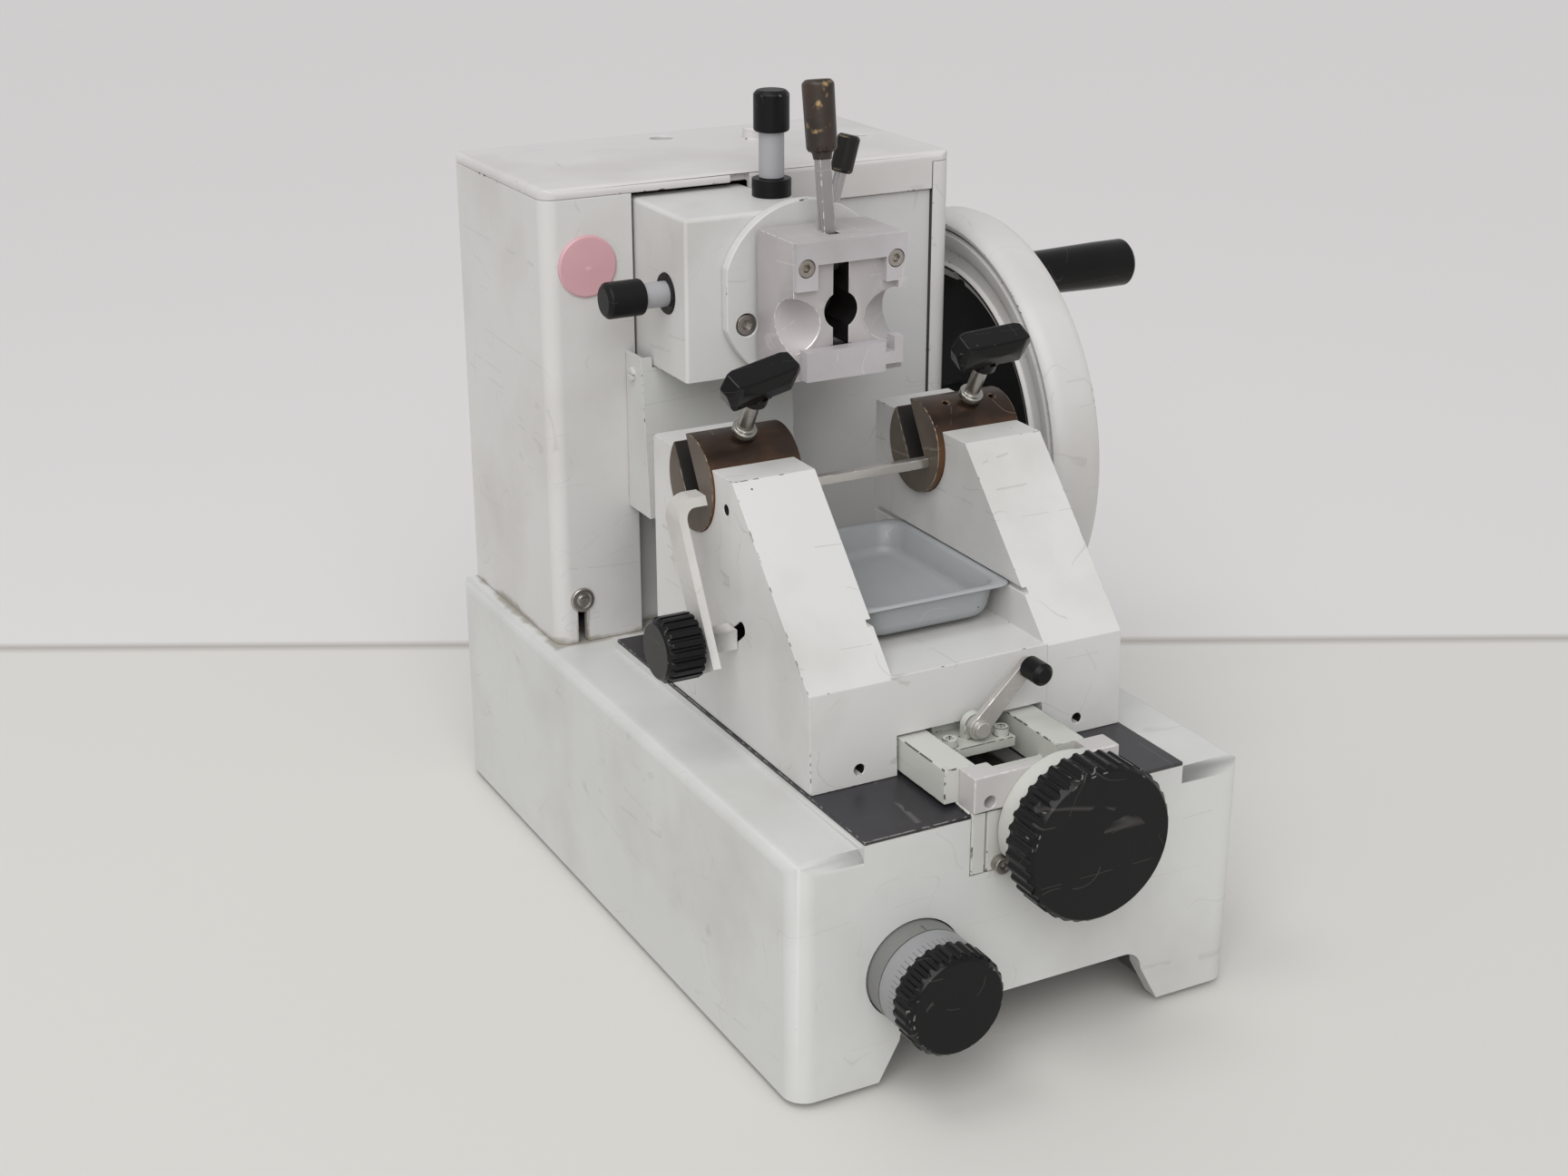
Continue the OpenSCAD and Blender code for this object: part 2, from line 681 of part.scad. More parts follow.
// Grey ring fixed in the front wall, against which the thickness dial is read
module index_ring() color(stem_grey) difference() {
    bar_y(dial_r, dial_axis, [y_front - 8, y_front + base_wall], dial_z);
    bar_y(dial_shaft_r + run, dial_axis, [y_front - 9, y_front + base_wall + cut], dial_z);
    // index notch
    slab([dial_axis - 0.4, dial_axis + 0.4], [y_front - 9, y_front - 4], [dial_z + dial_r - 0.5, dial_z + dial_r + 1]);
}

// U-shaped bracket in the front face: plate, web and two arms that enter the holder
module feed_bracket() color(enamel) difference() {
    union() {
        slab([pocket_x[0] + 0.3, pocket_x[1] - 0.3], [y_front - 0.6, y_front + pocket_d], [pocket_z + 0.4, way_top + 0.6]);
        slab([cutout_x[0] + 6, cutout_x[1] - 6], [cross_y[1], holder_y0 - 21], [way_top + 0.6, feed_web_top]);
        slab([arm_in_x[0], arm_in_x[0] + 13], [cross_y[1], arm_in], [arm_bot, arm_top]);
        slab([arm_in_x[1] - 13, arm_in_x[1]], [cross_y[1], arm_in], [arm_bot, arm_top]);
        // stem that joins the front plate to the web
        slab([cutout_x[0] + 6, cutout_x[1] - 6], [cross_y[0] + 2.3, cross_y[1] + cut], [way_top, way_top + 1]);
    }
    // joint line of the adjusting strip
    slab([pocket_x[0] + 6.2, pocket_x[0] + 6.9], [y_front - 1, y_front + 1.5], [pocket_z, way_top]);
    bar_y(feed_screw_r + run, feed_x, [y_front - cut, y_front + pocket_d + cut], feed_z);
    for (x = bracket_screw_x) bar_y(2.1, x, [y_front - cut, y_front + pocket_d + cut], bracket_screw_z);
}

module feed_crosspiece() color(satin) difference() {
    union() {
        slab([pocket_x[0], pocket_x[0] + 12], cross_y, [way_top + 1, arm_top]);
        slab([pocket_x[1] - 12.5, pocket_x[1]], cross_y, [way_top + 1, arm_top]);
        slab(pocket_x, [cross_y[0], cross_y[0] + 4.5], [way_top + 1, arm_top]);
    }
    for (x = [pocket_x[0] + 7, pocket_x[1] - 6])
        bar_y(2.4, x, [cross_y[0] - cut, cross_y[0] + 8], way_top + 4.6);
}

module feed_bearing() color(enamel) difference() {
    translate([feed_x, feed_bearing_y, feed_z]) rotate([-90, 0, 0]) {
        cylinder(r1 = bearing_r - 1, r2 = bearing_r, h = 3);
        translate([0, 0, 3]) cylinder(r = bearing_r, h = cross_y[0] - feed_bearing_y - 3);
    }
    bar_y(feed_screw_r + run, feed_x, [feed_bearing_y - cut, cross_y[0] + cut], feed_z);
    // relief over the heads of the bracket's screws
    for (x = bracket_screw_x) bar_y(4.4, x, [feed_bearing_y + 5, cross_y[0] + cut], bracket_screw_z);
}

module bracket_screws() color(steel)
    for (x = bracket_screw_x) cap_screw_y(x, y_front - 0.6, bracket_screw_z, 3.4, 4, 2, pocket_d + 4);

// ---------------------------------------------------------------- crank drive

// Dished cast wheel: rim with a bead and a groove on the tower side, web outside, hub
module handwheel() color(enamel) difference() {
    translate([wheel_l, shaft_y, shaft_z]) rotate([0, 90, 0]) rotate_extrude($fn = 96)
        polygon([[shaft_r + run, -6], [hub_r - 1, -6], [hub_r, -5], [hub_r + 1, wheel_w - wheel_web - 2],
            [hub_r + 3, wheel_w - wheel_web], [wheel_dish_r, wheel_w - wheel_web], [wheel_dish_r, 5],
            [wheel_dish_r + 1.5, 3.2], [wheel_bead_r - 1.8, 3], [wheel_bead_r - 1, 1.2], [wheel_bead_r + 1, 1.2],
            [wheel_bead_r + 2, 3], [wheel_in_r - 13, 3.4], [wheel_in_r - 10, 1.4], [wheel_in_r - 5, 0.9],
            [wheel_in_r - 4, 2.2], [wheel_in_r - 2.6, 2.2], [wheel_in_r - 2, 0.5], [wheel_in_r, 0],
            [wheel_in_r + 2.2, 2], [wheel_r, 7], [wheel_r, wheel_w - 6], [wheel_r - 1.5, wheel_w - 2],
            [wheel_r - 5, wheel_w], [wheel_dish_r + 6, wheel_w], [wheel_dish_r, wheel_w - 2.5],
            [hub_r + 14, wheel_w - 2.5], [hub_r + 6, wheel_w], [shaft_r + run, wheel_w]]);
    bar_x(handle_axle_r, [wheel_face - wheel_w, wheel_face + cut], handle_y, handle_z);
}

// One forging: main shaft, crank disc and crank pin
module crankshaft() color(steel) {
    bar_x(shaft_r, [disc_x[1] - cut, shaft_end], shaft_y, shaft_z);
    bar_x(disc_r, disc_x, shaft_y, shaft_z);
    bar_x(pin_r, [die_x[0], disc_x[0] + cut], shaft_y, pin_z);
}

module handle_axle() color(steel) {
    bar_x(handle_axle_r, [wheel_face - wheel_web + 3, handle_start + handle_l - 8], handle_y, handle_z);
    bar_x(handle_axle_r + 3.5, [wheel_face, handle_start - 0.2], handle_y, handle_z);
}

module handle_grip() color(rubber_black) difference() {
    translate([handle_start, handle_y, handle_z]) rotate([0, 90, 0]) rotate_extrude() polygon([[0, 0],
        [handle_d/2 - 2.5, 0], [handle_d/2 - 1, 1.2], [handle_d/2 - 0.6, handle_l*0.4], [handle_d/2, handle_l*0.75],
        [handle_d/2, handle_l - 2], [handle_d/2 - 2, handle_l], [0, handle_l]]);
    bar_x(handle_axle_r + run, [handle_start - cut, handle_start + handle_l - 7.5], handle_y, handle_z);
}

module die_block() color(bronze) difference() {
    slab(die_x, [shaft_y - die_y/2, shaft_y + die_y/2], [pin_z - die_z/2, pin_z + die_z/2]);
    bar_x(pin_r + run, [die_x[0] - cut, die_x[1] + cut], shaft_y, pin_z);
}

// ---------------------------------------------------------------- vertical slide

module carriage() color(cast) {
    difference() {
        slab([-carriage_x, carriage_x], carriage_y, carriage_z);
        for (s = [-1, 1])
            bar_z(rod_r + run, s*rod_x, rod_y, [carriage_z[0] - cut, carriage_z[1] + cut]);
        bar_y(quill_r + run, 0, [carriage_y[0] - cut, carriage_y[1] - thrust_wall], head_z);
        bar_y(spindle_r + run, 0, [carriage_y[0], carriage_y[1] + cut], head_z);
    }
    // pin of the pawl
    bar_y(2.5, pawl_at[0], [carriage_y[1] - cut, carriage_y[1] + 9], head_z + pawl_at[1]);
}

// Slotted fork beside the crank pin's block, open at its front end
module yoke() color(steel) {
    half = die_z/2 + 0.1;
    front = shaft_y - crank_r - die_y/2 - 0.5;
    back = shaft_y + crank_r + die_y/2 + 0.5;
    difference() {
        slab(yoke_x, [front, back + 7], [pin_z - half - yoke_rail, pin_z + half + yoke_rail]);
        slab([yoke_x[0] - cut, yoke_x[1] + cut], [front - cut, back], [pin_z - half, pin_z + half]);
    }
    slab(yoke_x, [carriage_y[0] + 6, back + 7], [pin_z + half + yoke_rail - cut, head_z + 18]);
}

// Cover below the head block, hung on the slide: its side reaches past the opening's left edge
module slide_shutter() color(tower_enamel) {
    left = open_l + face;
    outer = open_l - 4.7;
    flange = tower_front - 0.3;
    front = [tower_front - 21.5, tower_front - 15.5];
    top = head_bot + 3.5;
    low = head_bot - 0.5;
    bottom = head_bot - 2*crank_r - 15.5;
    t = 1.8;
    difference() {
        union() {
            plate_x([outer, outer + t]) polygon([[front[0], bottom], [flange, bottom], [flange, top], [front[1], top]]);
            plate_x([outer, open_l + 0.6]) polygon([[front[0], bottom], [front[0] + t, bottom], [front[1] + t, top], [front[1], top]]);
        }
        bar_x(1.5, [outer - cut, outer + t + cut], tower_front - 7, head_bot - 5);
    }
    plate_x([outer, head_right + 5]) intersection() {
        polygon([[front[0], bottom], [front[0] + t, bottom], [front[1] + t, top], [front[1], top]]);
        polygon([[0, bottom], [tower_front, bottom], [tower_front, low], [0, low]]);
    }
    slab([outer, left + t], [flange - t, flange], [bottom, low]);
    slab([left, left + t], [flange - t, carriage_y[0]], [bottom, low]);
    slab([left, -carriage_x + 4], [carriage_y[0] - t, carriage_y[0]], [head_bot - 20, head_z - 8]);
    color(steel) difference() {
        union() {
            bar_x(1.5, [outer - cut, outer + t + 2], tower_front - 7, head_bot - 5);
            bar_x(3, [outer - 1.3, outer], tower_front - 7, head_bot - 5);
        }
        slab([outer - 2, outer - 0.6], [tower_front - 11, tower_front - 3], [head_bot - 5.4, head_bot - 4.6]);
    }
}

// ---------------------------------------------------------------- head

// Sector of a ring about the specimen axis, from angle a0 to a1 clockwise of upright
module ring_sector(r0, r1, a0, a1, y) translate([0, y[1], head_z]) rotate([90, 0, 0])
    linear_extrude(y[1] - y[0]) intersection() {
        difference() {
            circle(r1);
            circle(r0);
        }
        polygon([[0, 0], for (a = [a0, (a0 + a1)/2, a1]) 1.5*r1*[sin(a), cos(a)]]);
    }

module head_block() color(enamel) difference() {
    union() {
        soft_block([-head_left, head_right], [head_front, body_back], [head_bot, head_top], 1.5, 2);
        soft_block([-head_left, tail_r], [body_back - 12, head_back], [head_bot, head_top], 1.5, 2);
        bar_y(head_h/2, 0, [head_front, body_back], head_z);
    }
    bar_y(cavity_r, 0, [head_front - cut, cavity_back], head_z);
    // seats of the gimbal's trunnions
    for (s = [-1, 1]) bar_x(trunnion_r + run, s > 0 ? [cavity_r - cut, cavity_r + 5.5]
        : [-cavity_r - 5.5, -cavity_r + cut], gimbal_c, head_z);
    // way out for the locking lever
    ring_sector(cavity_r - cut, head_h, 20, 33 + lock_swing + 9, [head_front - cut, lock_ring_y + lock_ring_t + 0.4]);
    // bores of the adjusting screws, and the bush seat in the left face
    bar_z(adjust_screw_r + run, top_knob_x, top_knob_y, [head_top - 7, head_top + cut]);
    bar_x(adjust_screw_r + run, [-head_left - cut, -cavity_r - 8], left_knob_y, head_z);
    bar_x(bush_d/2, [-head_left - cut, -head_left + 2], left_knob_y, head_z);
    // threads of the flange screws
    for (x = flange_screw_x) bar_y(2.1, x, [head_front - cut, head_front + 12], flange_screw_z);
}

module feed_quill() color(steel) difference() {
    bar_y(quill_r, 0, [quill_front, quill_back], head_z);
    bar_y(spindle_r + 0.5, 0, [quill_front + 4, quill_back + cut], head_z);
}

module front_flange() color(enamel) difference() {
    intersection() {
        bar_y(flange_r, 0, [flange_front, head_front], head_z);
        slab([-flange_flats/2, flange_flats/2], [flange_front - cut, head_front + cut],
            [head_z - flange_r - cut, head_z + flange_r + cut]);
    }
    bar_y(flange_bore_r, 0, [flange_front - cut, head_front + cut], head_z);
    for (x = flange_screw_x) {
        bar_y(2.1, x, [flange_front - cut, head_front + cut], flange_screw_z);
        bar_y(4.7, x, [flange_front - cut, flange_front + 3.7], flange_screw_z);
    }
}

module flange_screws() color(steel)
    for (x = flange_screw_x) cap_screw_y(x, flange_front + 3.7, flange_screw_z, 4.2, 3.4, 2, 10);

module knob_bushes() color(rubber_black) {
    difference() {
        bar_z(collar_d/2, top_knob_x, top_knob_y, [head_top, head_top + collar_h]);
        bar_z(adjust_screw_r + run, top_knob_x, top_knob_y, [head_top - cut, head_top + collar_h + cut]);
    }
    difference() {
        bar_x(bush_d/2, [-head_left - 0.6, -head_left + 2], left_knob_y, head_z);
        bar_x(stem_d/2 + run, [-head_left - 2, -head_left + 3], left_knob_y, head_z);
    }
}

module feed_spindle() color(steel)
    bar_y(spindle_r, 0, [quill_back - 26, spindle_back], head_z);

// Ratchet teeth: one steep and one long flank each
module ratchet_wheel() color(steel) {
    pitch = 360/ratchet_teeth;
    y = [carriage_y[1] + 0.8, carriage_y[1] + 0.8 + ratchet_t];
    difference() {
        translate([0, y[1], head_z]) rotate([90, 0, 0]) linear_extrude(ratchet_t)
            polygon([for (i = [0:ratchet_teeth - 1], k = [0, 1])
                (k == 0 ? ratchet_r : ratchet_r - 1.4)*[cos((i + k*0.1)*pitch), sin((i + k*0.1)*pitch)]]);
        bar_y(spindle_r, 0, [y[0] - cut, y[1] + cut], head_z);
    }
}

module feed_pawl() color(steel) {
    y = [carriage_y[1] + 0.8, carriage_y[1] + 0.8 + ratchet_t];
    tip = ratchet_r + 0.5;
    reach = norm(pawl_at) - tip;
    translate([pawl_at[0], y[1], head_z + pawl_at[1]]) rotate([90, 0, 0]) linear_extrude(ratchet_t)
        difference() {
            union() {
                circle(4.5);
                rotate(atan2(-pawl_at[1], -pawl_at[0])) polygon([[0, -4], [reach, -1.2], [reach, 0.2], [0, 4]]);
            }
            circle(2.5 + run);
        }
}

// Top orientation knob: adjusting screw, grey stem and black cap
module top_knob() {
    stem_z = head_top + collar_h + 0.1;
    color(stem_grey) {
        bar_z(adjust_screw_r, top_knob_x, top_knob_y, [head_top - 6, stem_z + cut]);
        bar_z(stem_d/2, top_knob_x, top_knob_y, [stem_z, stem_z + top_stem_h]);
    }
    color(rubber_black) translate([top_knob_x, top_knob_y, stem_z + top_stem_h]) cap(cap_d, cap_h);
}

// Left orientation knob, like the top one but lying along X
module left_knob() {
    seat = -head_left + 1.7;
    color(stem_grey) {
        bar_x(adjust_screw_r, [seat - cut, -cavity_r - 8.5], left_knob_y, head_z);
        bar_x(stem_d/2, [-head_left - left_stem_l, seat], left_knob_y, head_z);
    }
    color(rubber_black) translate([-head_left - left_stem_l, left_knob_y, head_z]) rotate([0, -90, 0])
        cap(cap_d, cap_h);
}

// Gimbal ring on two trunnions along X, with two pivot holes along Z
module gimbal_ring() color(steel) difference() {
    union() {
        bar_y(gimbal_r, 0, [gimbal_c - gimbal_w/2, gimbal_c + gimbal_w/2], head_z);
        bar_x(trunnion_r, [-cavity_r - 5, cavity_r + 5], gimbal_c, head_z);
    }
    bar_y(gimbal_bore_r, 0, [gimbal_c - gimbal_w/2 - cut, gimbal_c + gimbal_w/2 + cut], head_z);
    bar_z(pivot_r + run, 0, gimbal_c, [head_z - gimbal_r - cut, head_z + gimbal_r + cut]);
}

// Block in the gimbal ring, with the neck that carries the clamp
module tilt_block() color(steel) {
    bar_y(tilt_block_r, 0, [gimbal_c - 7, gimbal_c + 7], head_z);
    bar_y(neck_r, 0, [clamp_back, gimbal_c - 7 + cut], head_z);
    bar_z(pivot_r, 0, gimbal_c, [head_z - gimbal_r + 0.6, head_z + gimbal_r - 0.6]);
}

// Locking ring behind the flange, with its lever
module lock_lever() color(steel) {
    difference() {
        bar_y(lock_ring_r, 0, [lock_ring_y, lock_ring_y + lock_ring_t], head_z);
        bar_y(flange_bore_r + 1.5, 0, [lock_ring_y - cut, lock_ring_y + lock_ring_t + cut], head_z);
    }
    lock_along() translate([0, 0, -2.5]) cylinder(r = lock_rod_r, h = lock_rod_l + 2.5 + 6);
}

// Children stand on the locking ring along its lever
module lock_along() translate([lock_rod_base[0], lock_ring_y + lock_ring_t/2, head_z + lock_rod_base[1]])
    rotate([0, lock_rod_tilt, 0]) children();

module lock_grip() color(rubber_black) lock_along() translate([0, 0, lock_rod_l]) difference() {
    rotate_extrude() polygon([[0, 0], [lock_grip_d/2 - 1, 0], [lock_grip_d/2, 1], [lock_grip_d/2, 14.5],
        [lock_grip_d/2 - 1, 15.5], [0, 15.5]]);
    translate([0, 0, -cut]) cylinder(r = lock_rod_r + run, h = 6 + cut + run);
}

// ---------------------------------------------------------------- specimen clamp

// A scoop across one upright front edge: it leaves the front face at reach[0] from the
// edge and the side face at reach[1]
module scoop(edge_x, side, reach) {
    n = [side*reach[1], -reach[0], 0]/norm(reach);
    mid = [edge_x - side*reach[0]/2, clamp_front + reach[1]/2, clamp_top - 33.5];
    translate(mid + scoop_r*n) rotate([0, 0, side*atan2(reach[1], -reach[0])])
        rotate([0, 90, 0]) cylinder(r = scoop_r, h = 80, center = true);
}

module clamp_block() color(satin) {
    slot_x = [clamp_slot_x - clamp_slot_w/2, clamp_slot_x + clamp_slot_w/2];
    difference() {
        slab([clamp_l, clamp_r], [clamp_front, clamp_back], [clamp_bot, clamp_top]);
        slab(slot_x, [clamp_front - cut, clamp_front + 20], [clamp_bot + lower_jaw_h, clamp_top - upper_jaw_h]);
        bar_y(clamp_hole_r, clamp_slot_x, [clamp_front - cut, clamp_front + 22], head_z);
        scoop(clamp_l, -1, [12, 16]);
        scoop(clamp_r, 1, [18, 16]);
        // guide of the lower jaw
        slab([slot_x[0] - 1.6, slot_x[1] + 1.6], [clamp_front - cut, clamp_front + 12.6],
            [clamp_bot - cut, clamp_bot + lower_jaw_h + 1]);
        // pocket of the jaw lever
        slab([jaw_lever_x - jaw_lever_w/2 - face, jaw_lever_x + jaw_lever_w/2 + face],
            [jaw_lever_y - jaw_hub_r - 0.5, jaw_lever_y + jaw_hub_r + 0.5], [jaw_pivot_z - jaw_hub_r - 0.5, clamp_top + cut]);
        for (x = jaw_screw_x) {
            bar_y(3.8, x, [clamp_front - cut, clamp_front + 1.5], jaw_screw_z);
            bar_y(1.8, x, [clamp_front - cut, clamp_front + 11], jaw_screw_z);
        }
    }
    bar_x(jaw_pin_r, [slot_x[0] - 3, slot_x[1] + 5], jaw_lever_y, jaw_pivot_z);
}

// Inverted U screwed to the front: the bar and its two legs, the right one hooked
module upper_jaw() color(satin) difference() {
    y = [clamp_front - jaw_proud, clamp_front];
    z = clamp_top - upper_jaw_h;
    union() {
        slab([clamp_l, clamp_r], y, [z, clamp_top]);
        slab([clamp_l, clamp_l + jaw_leg_w], y, [z - jaw_leg_h, z + cut]);
        slab([clamp_r - jaw_leg_w, clamp_r], y, [z - jaw_leg_h, z + cut]);
        slab([clamp_r - 4, clamp_r], y, [z - jaw_leg_h - 3, z + cut]);
    }
    for (x = jaw_screw_x) bar_y(3.8, x, [y[0] - cut, y[1] + cut], jaw_screw_z);
}

module jaw_screws() color(steel)
    for (x = jaw_screw_x) cap_screw_y(x, clamp_front + 1.5, jaw_screw_z, 3.5, 4.2, 1.7, 9);

// Sliding bar with a tongue that runs in the block
module lower_jaw() color(satin) {
    slot_x = [clamp_slot_x - clamp_slot_w/2, clamp_slot_x + clamp_slot_w/2];
    z = [lower_jaw_z, lower_jaw_z + lower_jaw_h];
    left = clamp_l + 3;
    slab([left, left + lower_jaw_w], [clamp_front - 2*jaw_proud, clamp_front - 0.1], z);
    slab([left + lower_jaw_w, left + lower_jaw_w + 8], [clamp_front - 2*jaw_proud, clamp_front - 0.1], [z[0] + 3, z[0] + 8]);
    slab([left + lower_jaw_w + 4, left + lower_jaw_w + 8], [clamp_front - 2*jaw_proud, clamp_front - 0.1], [z[0] + 3, z[1] + 2]);
    slab([slot_x[0] - 1.5, slot_x[1] + 1.5], [clamp_front - 0.2, clamp_front + 12.5], [z[0], z[1] - 0.3]);
}

// Children stand on the jaw lever's pivot, along the lever
module jaw_along() translate([jaw_lever_x, jaw_lever_y, jaw_pivot_z]) rotate([-jaw_lever_lean, 0, 0]) children();

module jaw_lever() color(steel) jaw_along() difference() {
    union() {
        rotate([0, 90, 0]) cylinder(r = jaw_hub_r, h = jaw_lever_w, center = true);
        translate([-jaw_lever_w/2, -jaw_lever_t/2, 0]) cube([jaw_lever_w, jaw_lever_t, jaw_lever_l + 8]);
    }
    rotate([0, 90, 0]) cylinder(r = jaw_pin_r + run, h = jaw_lever_w + 2, center = true);
    // flutes of the bar
    for (sx = [-1, 1], sy = [-1, 1])
        translate([sx*(jaw_lever_w/2 + 0.5), sy*1.2, jaw_hub_r + 6]) cylinder(r = 0.9, h = 60, $fn = 16);
}

module jaw_grip() color(patina) jaw_along() translate([0, 0, jaw_lever_l]) difference() {
    rotate_extrude() polygon([[0, -3], [3.6, -3], [4.2, 0], [jaw_grip_d/2 - 1.2, 0], [jaw_grip_d/2 - 0.3, 1.5],
        [jaw_grip_d/2, jaw_grip_l - 1.5], [jaw_grip_d/2 - 1.5, jaw_grip_l], [0, jaw_grip_l]]);
    translate([-jaw_lever_w/2 - 0.05, -jaw_lever_t/2 - 0.05, -3 - cut])
        cube([jaw_lever_w + 0.1, jaw_lever_t + 0.1, 11 + cut + 0.1]);
}

// ---------------------------------------------------------------- knife holder

// Arc slot about the knife axis for the stud of the tilt arm, in the Y-Z plane
module arm_slot() {
    r = norm([arm_knob_y - knife_y, arm_knob_z - knife_z]);
    a = atan2(arm_knob_z - knife_z, arm_knob_y - knife_y);
    w = arm_stud_r + 0.4;
    translate([knife_y, knife_z]) {
        intersection() {
            difference() {
                circle(r + w);
                circle(r - w);
            }
            polygon([[0, 0], for (s = [-1, 0, 1]) 1.4*r*[cos(a + s*knife_swing), sin(a + s*knife_swing)]]);
        }
        for (s = [-1, 1]) translate(r*[cos(a + s*knife_swing), sin(a + s*knife_swing)]) circle(w);
    }
}

module knife_holder() color(enamel) difference() {
    union() {
        for (x = [[holder_l_x, gap_l], [gap_r, holder_r_x]]) plate_x(x) difference() {
            polygon([[holder_y0, holder_z0], [holder_y0 + 1.7, apron_top - 1], [holder_y0 + 62.7, cheek_top],
                [holder_y1, cheek_top], [holder_y1, holder_z0]]);
            translate([knife_y, knife_z]) circle(cradle_r);
        }
        plate_x([gap_l - cut, gap_r + cut])
            polygon([[holder_y0, holder_z0], [holder_y0 + 1.7, apron_top], [holder_y1, apron_top], [holder_y1, holder_z0]]);
    }
    // room for the arms of the feed bracket
    slab(cutout_x, [holder_y0 - cut, holder_y0 + cutout_d], [holder_z0 - cut, cutout_top]);
    // hollow underside
    slab([way_x - 26, way_x + 26], [holder_y0 + 62, holder_y1 - 9], [holder_z0 - cut, apron_top - 9]);
    // grooves for the tray's rim
    slab([gap_l - groove_d, gap_r + groove_d], [holder_y0 + 1, holder_y1 + cut],
        [tray_rim_z - tray_rim_t - face, tray_rim_z + face]);
    // slot for the stud of the tilt arm
    plate_x([holder_l_x - cut, holder_l_x + 14]) arm_slot();
    // plain holes in the front, the oil hole in the left cheek
    for (x = [way_x - 49, way_x + 49.4]) bar_y(2.2, x, [holder_y0 - cut, holder_y0 + 9], way_top + 6.3);
    bar_x(2.2, [holder_l_x - cut, holder_l_x + 8], knife_y - 29, cheek_top - 12.6);
}

module feed_nut() color(bronze) difference() {
    slab([feed_x - way_slot_w/2 + 1, feed_x + way_slot_w/2 - 1], nut_y,
        [feed_z - 9, holder_z0]);
    bar_y(feed_screw_r + run, feed_x, [holder_y0, holder_y1], feed_z);
}

// Plate under the apron with the lug of the clamp lever and its two screws
module lever_plate() color(enamel) {
    difference() {
        union() {
            slab(lever_plate_x, lever_plate_y, lever_plate_z);
            slab([lever_pivot[0] - 5, lever_pivot[0] + 5], lever_lug_y, [lever_plate_z[1] - cut, lever_pivot[1]]);
            bar_y(5, lever_pivot[0], lever_lug_y, lever_pivot[1]);
            // post that hangs the plate under the apron
            slab([lever_plate_x[0] + 4, lever_plate_x[1] - 4], [holder_y0 + 6, lever_plate_y[1]], [lever_plate_z[1] - cut, cutout_top]);
        }
        bar_y(1.8 + run, lever_pivot[0], [lever_lug_y[0] - cut, lever_lug_y[1] + cut], lever_pivot[1]);
        for (x = lever_screw_x) bar_z(1.5, x, lever_screw_y, [lever_plate_z[0] + 1, lever_plate_z[1] + cut]);
    }
    for (x = lever_screw_x) color(steel) difference() {
        union() {
            bar_z(3, x, lever_screw_y, [lever_plate_z[1], lever_plate_z[1] + 3.4]);
            bar_z(1.45, x, lever_screw_y, [lever_plate_z[0] + 1.2, lever_plate_z[1] + cut]);
        }
        translate([x, lever_screw_y, lever_plate_z[1] + 1.4]) cylinder(r = 1.6, h = 3, $fn = 6);
    }
}

module clamp_lever() color(satin) {
    tip = clamp_lever_l*[cos(clamp_lever_angle), sin(clamp_lever_angle)];
    translate([lever_pivot[0], lever_y[1], lever_pivot[1]]) rotate([90, 0, 0]) linear_extrude(lever_y[1] - lever_y[0]) {
        circle(4.6);
        translate(tip) circle(3.2);
        rotate(clamp_lever_angle) polygon([[0, -4.2], [clamp_lever_l, -3], [clamp_lever_l, 3], [0, 4.2]]);
    }
    bar_y(1.8, lever_pivot[0], [lever_y[1] - cut, lever_lug_y[1] + 0.5], lever_pivot[1]);
    bar_y(3.2, lever_pivot[0], [lever_y[0] - 2.4, lever_y[0] + cut], lever_pivot[1]);
}

module lever_button() color(rubber_black)
    translate([lever_pivot[0] + clamp_lever_l*cos(clamp_lever_angle), lever_y[0],
        lever_pivot[1] + clamp_lever_l*sin(clamp_lever_angle)]) rotate([90, 0, 0]) cap(2*lever_button_r, lever_button_l);

// Pressed tray whose rim hangs in the cheeks' grooves
module waste_tray() color([0.72, 0.76, 0.78]) {
    x = [gap_l + 1.6, gap_r - 1.6];
    z0 = tray_rim_z - tray_h;
    difference() {
        union() {
            slab(x, tray_y, [z0, tray_rim_z]);
            slab([gap_l - groove_d + face, gap_r + groove_d - face], [tray_y[0] + 3, tray_y[1] + 2],
                [tray_rim_z - tray_rim_t, tray_rim_z]);
            slab([x[0] + 1, x[1] - 1], [tray_y[0] - 3, tray_y[1]], [tray_rim_z - tray_rim_t, tray_rim_z]);
        }
        slab([x[0] + tray_wall, x[1] - tray_wall], [tray_y[0] + tray_wall, tray_y[1] - tray_wall],
            [z0 + tray_wall, tray_rim_z + cut]);
    }
}

// Axis of a wing screw: children stand on it, upright along the screw
module wing_axis(x) translate([x, knife_y, knife_z]) rotate([wing_lean, 0, 0])
    translate([0, wing_offset, 0]) children();

// Two slotted steel cylinders that lie in the cradles and hold the knife
module knife_jaws() color(patina) for (jaw = [[jaw_l, wing_x[0]], [jaw_rt, wing_x[1]]]) difference() {
    plate_x(jaw[0]) translate([knife_y, knife_z]) difference() {
        circle(jaw_r);
        rotate(-knife_lean) translate([-knife_slot_w/2, -slot_below]) square([knife_slot_w, 2*jaw_r]);
    }
    wing_axis(jaw[1]) cylinder(r = wing_stud_r + run, h = 2*jaw_r);
    // two small holes beside the right stud
    if (jaw[1] == wing_x[1]) for (s = [-1, 1])
        wing_axis(jaw[1] + 11*s) translate([0, 0, jaw_r - 3.5]) cylinder(r = 1.4, h = jaw_r);
}

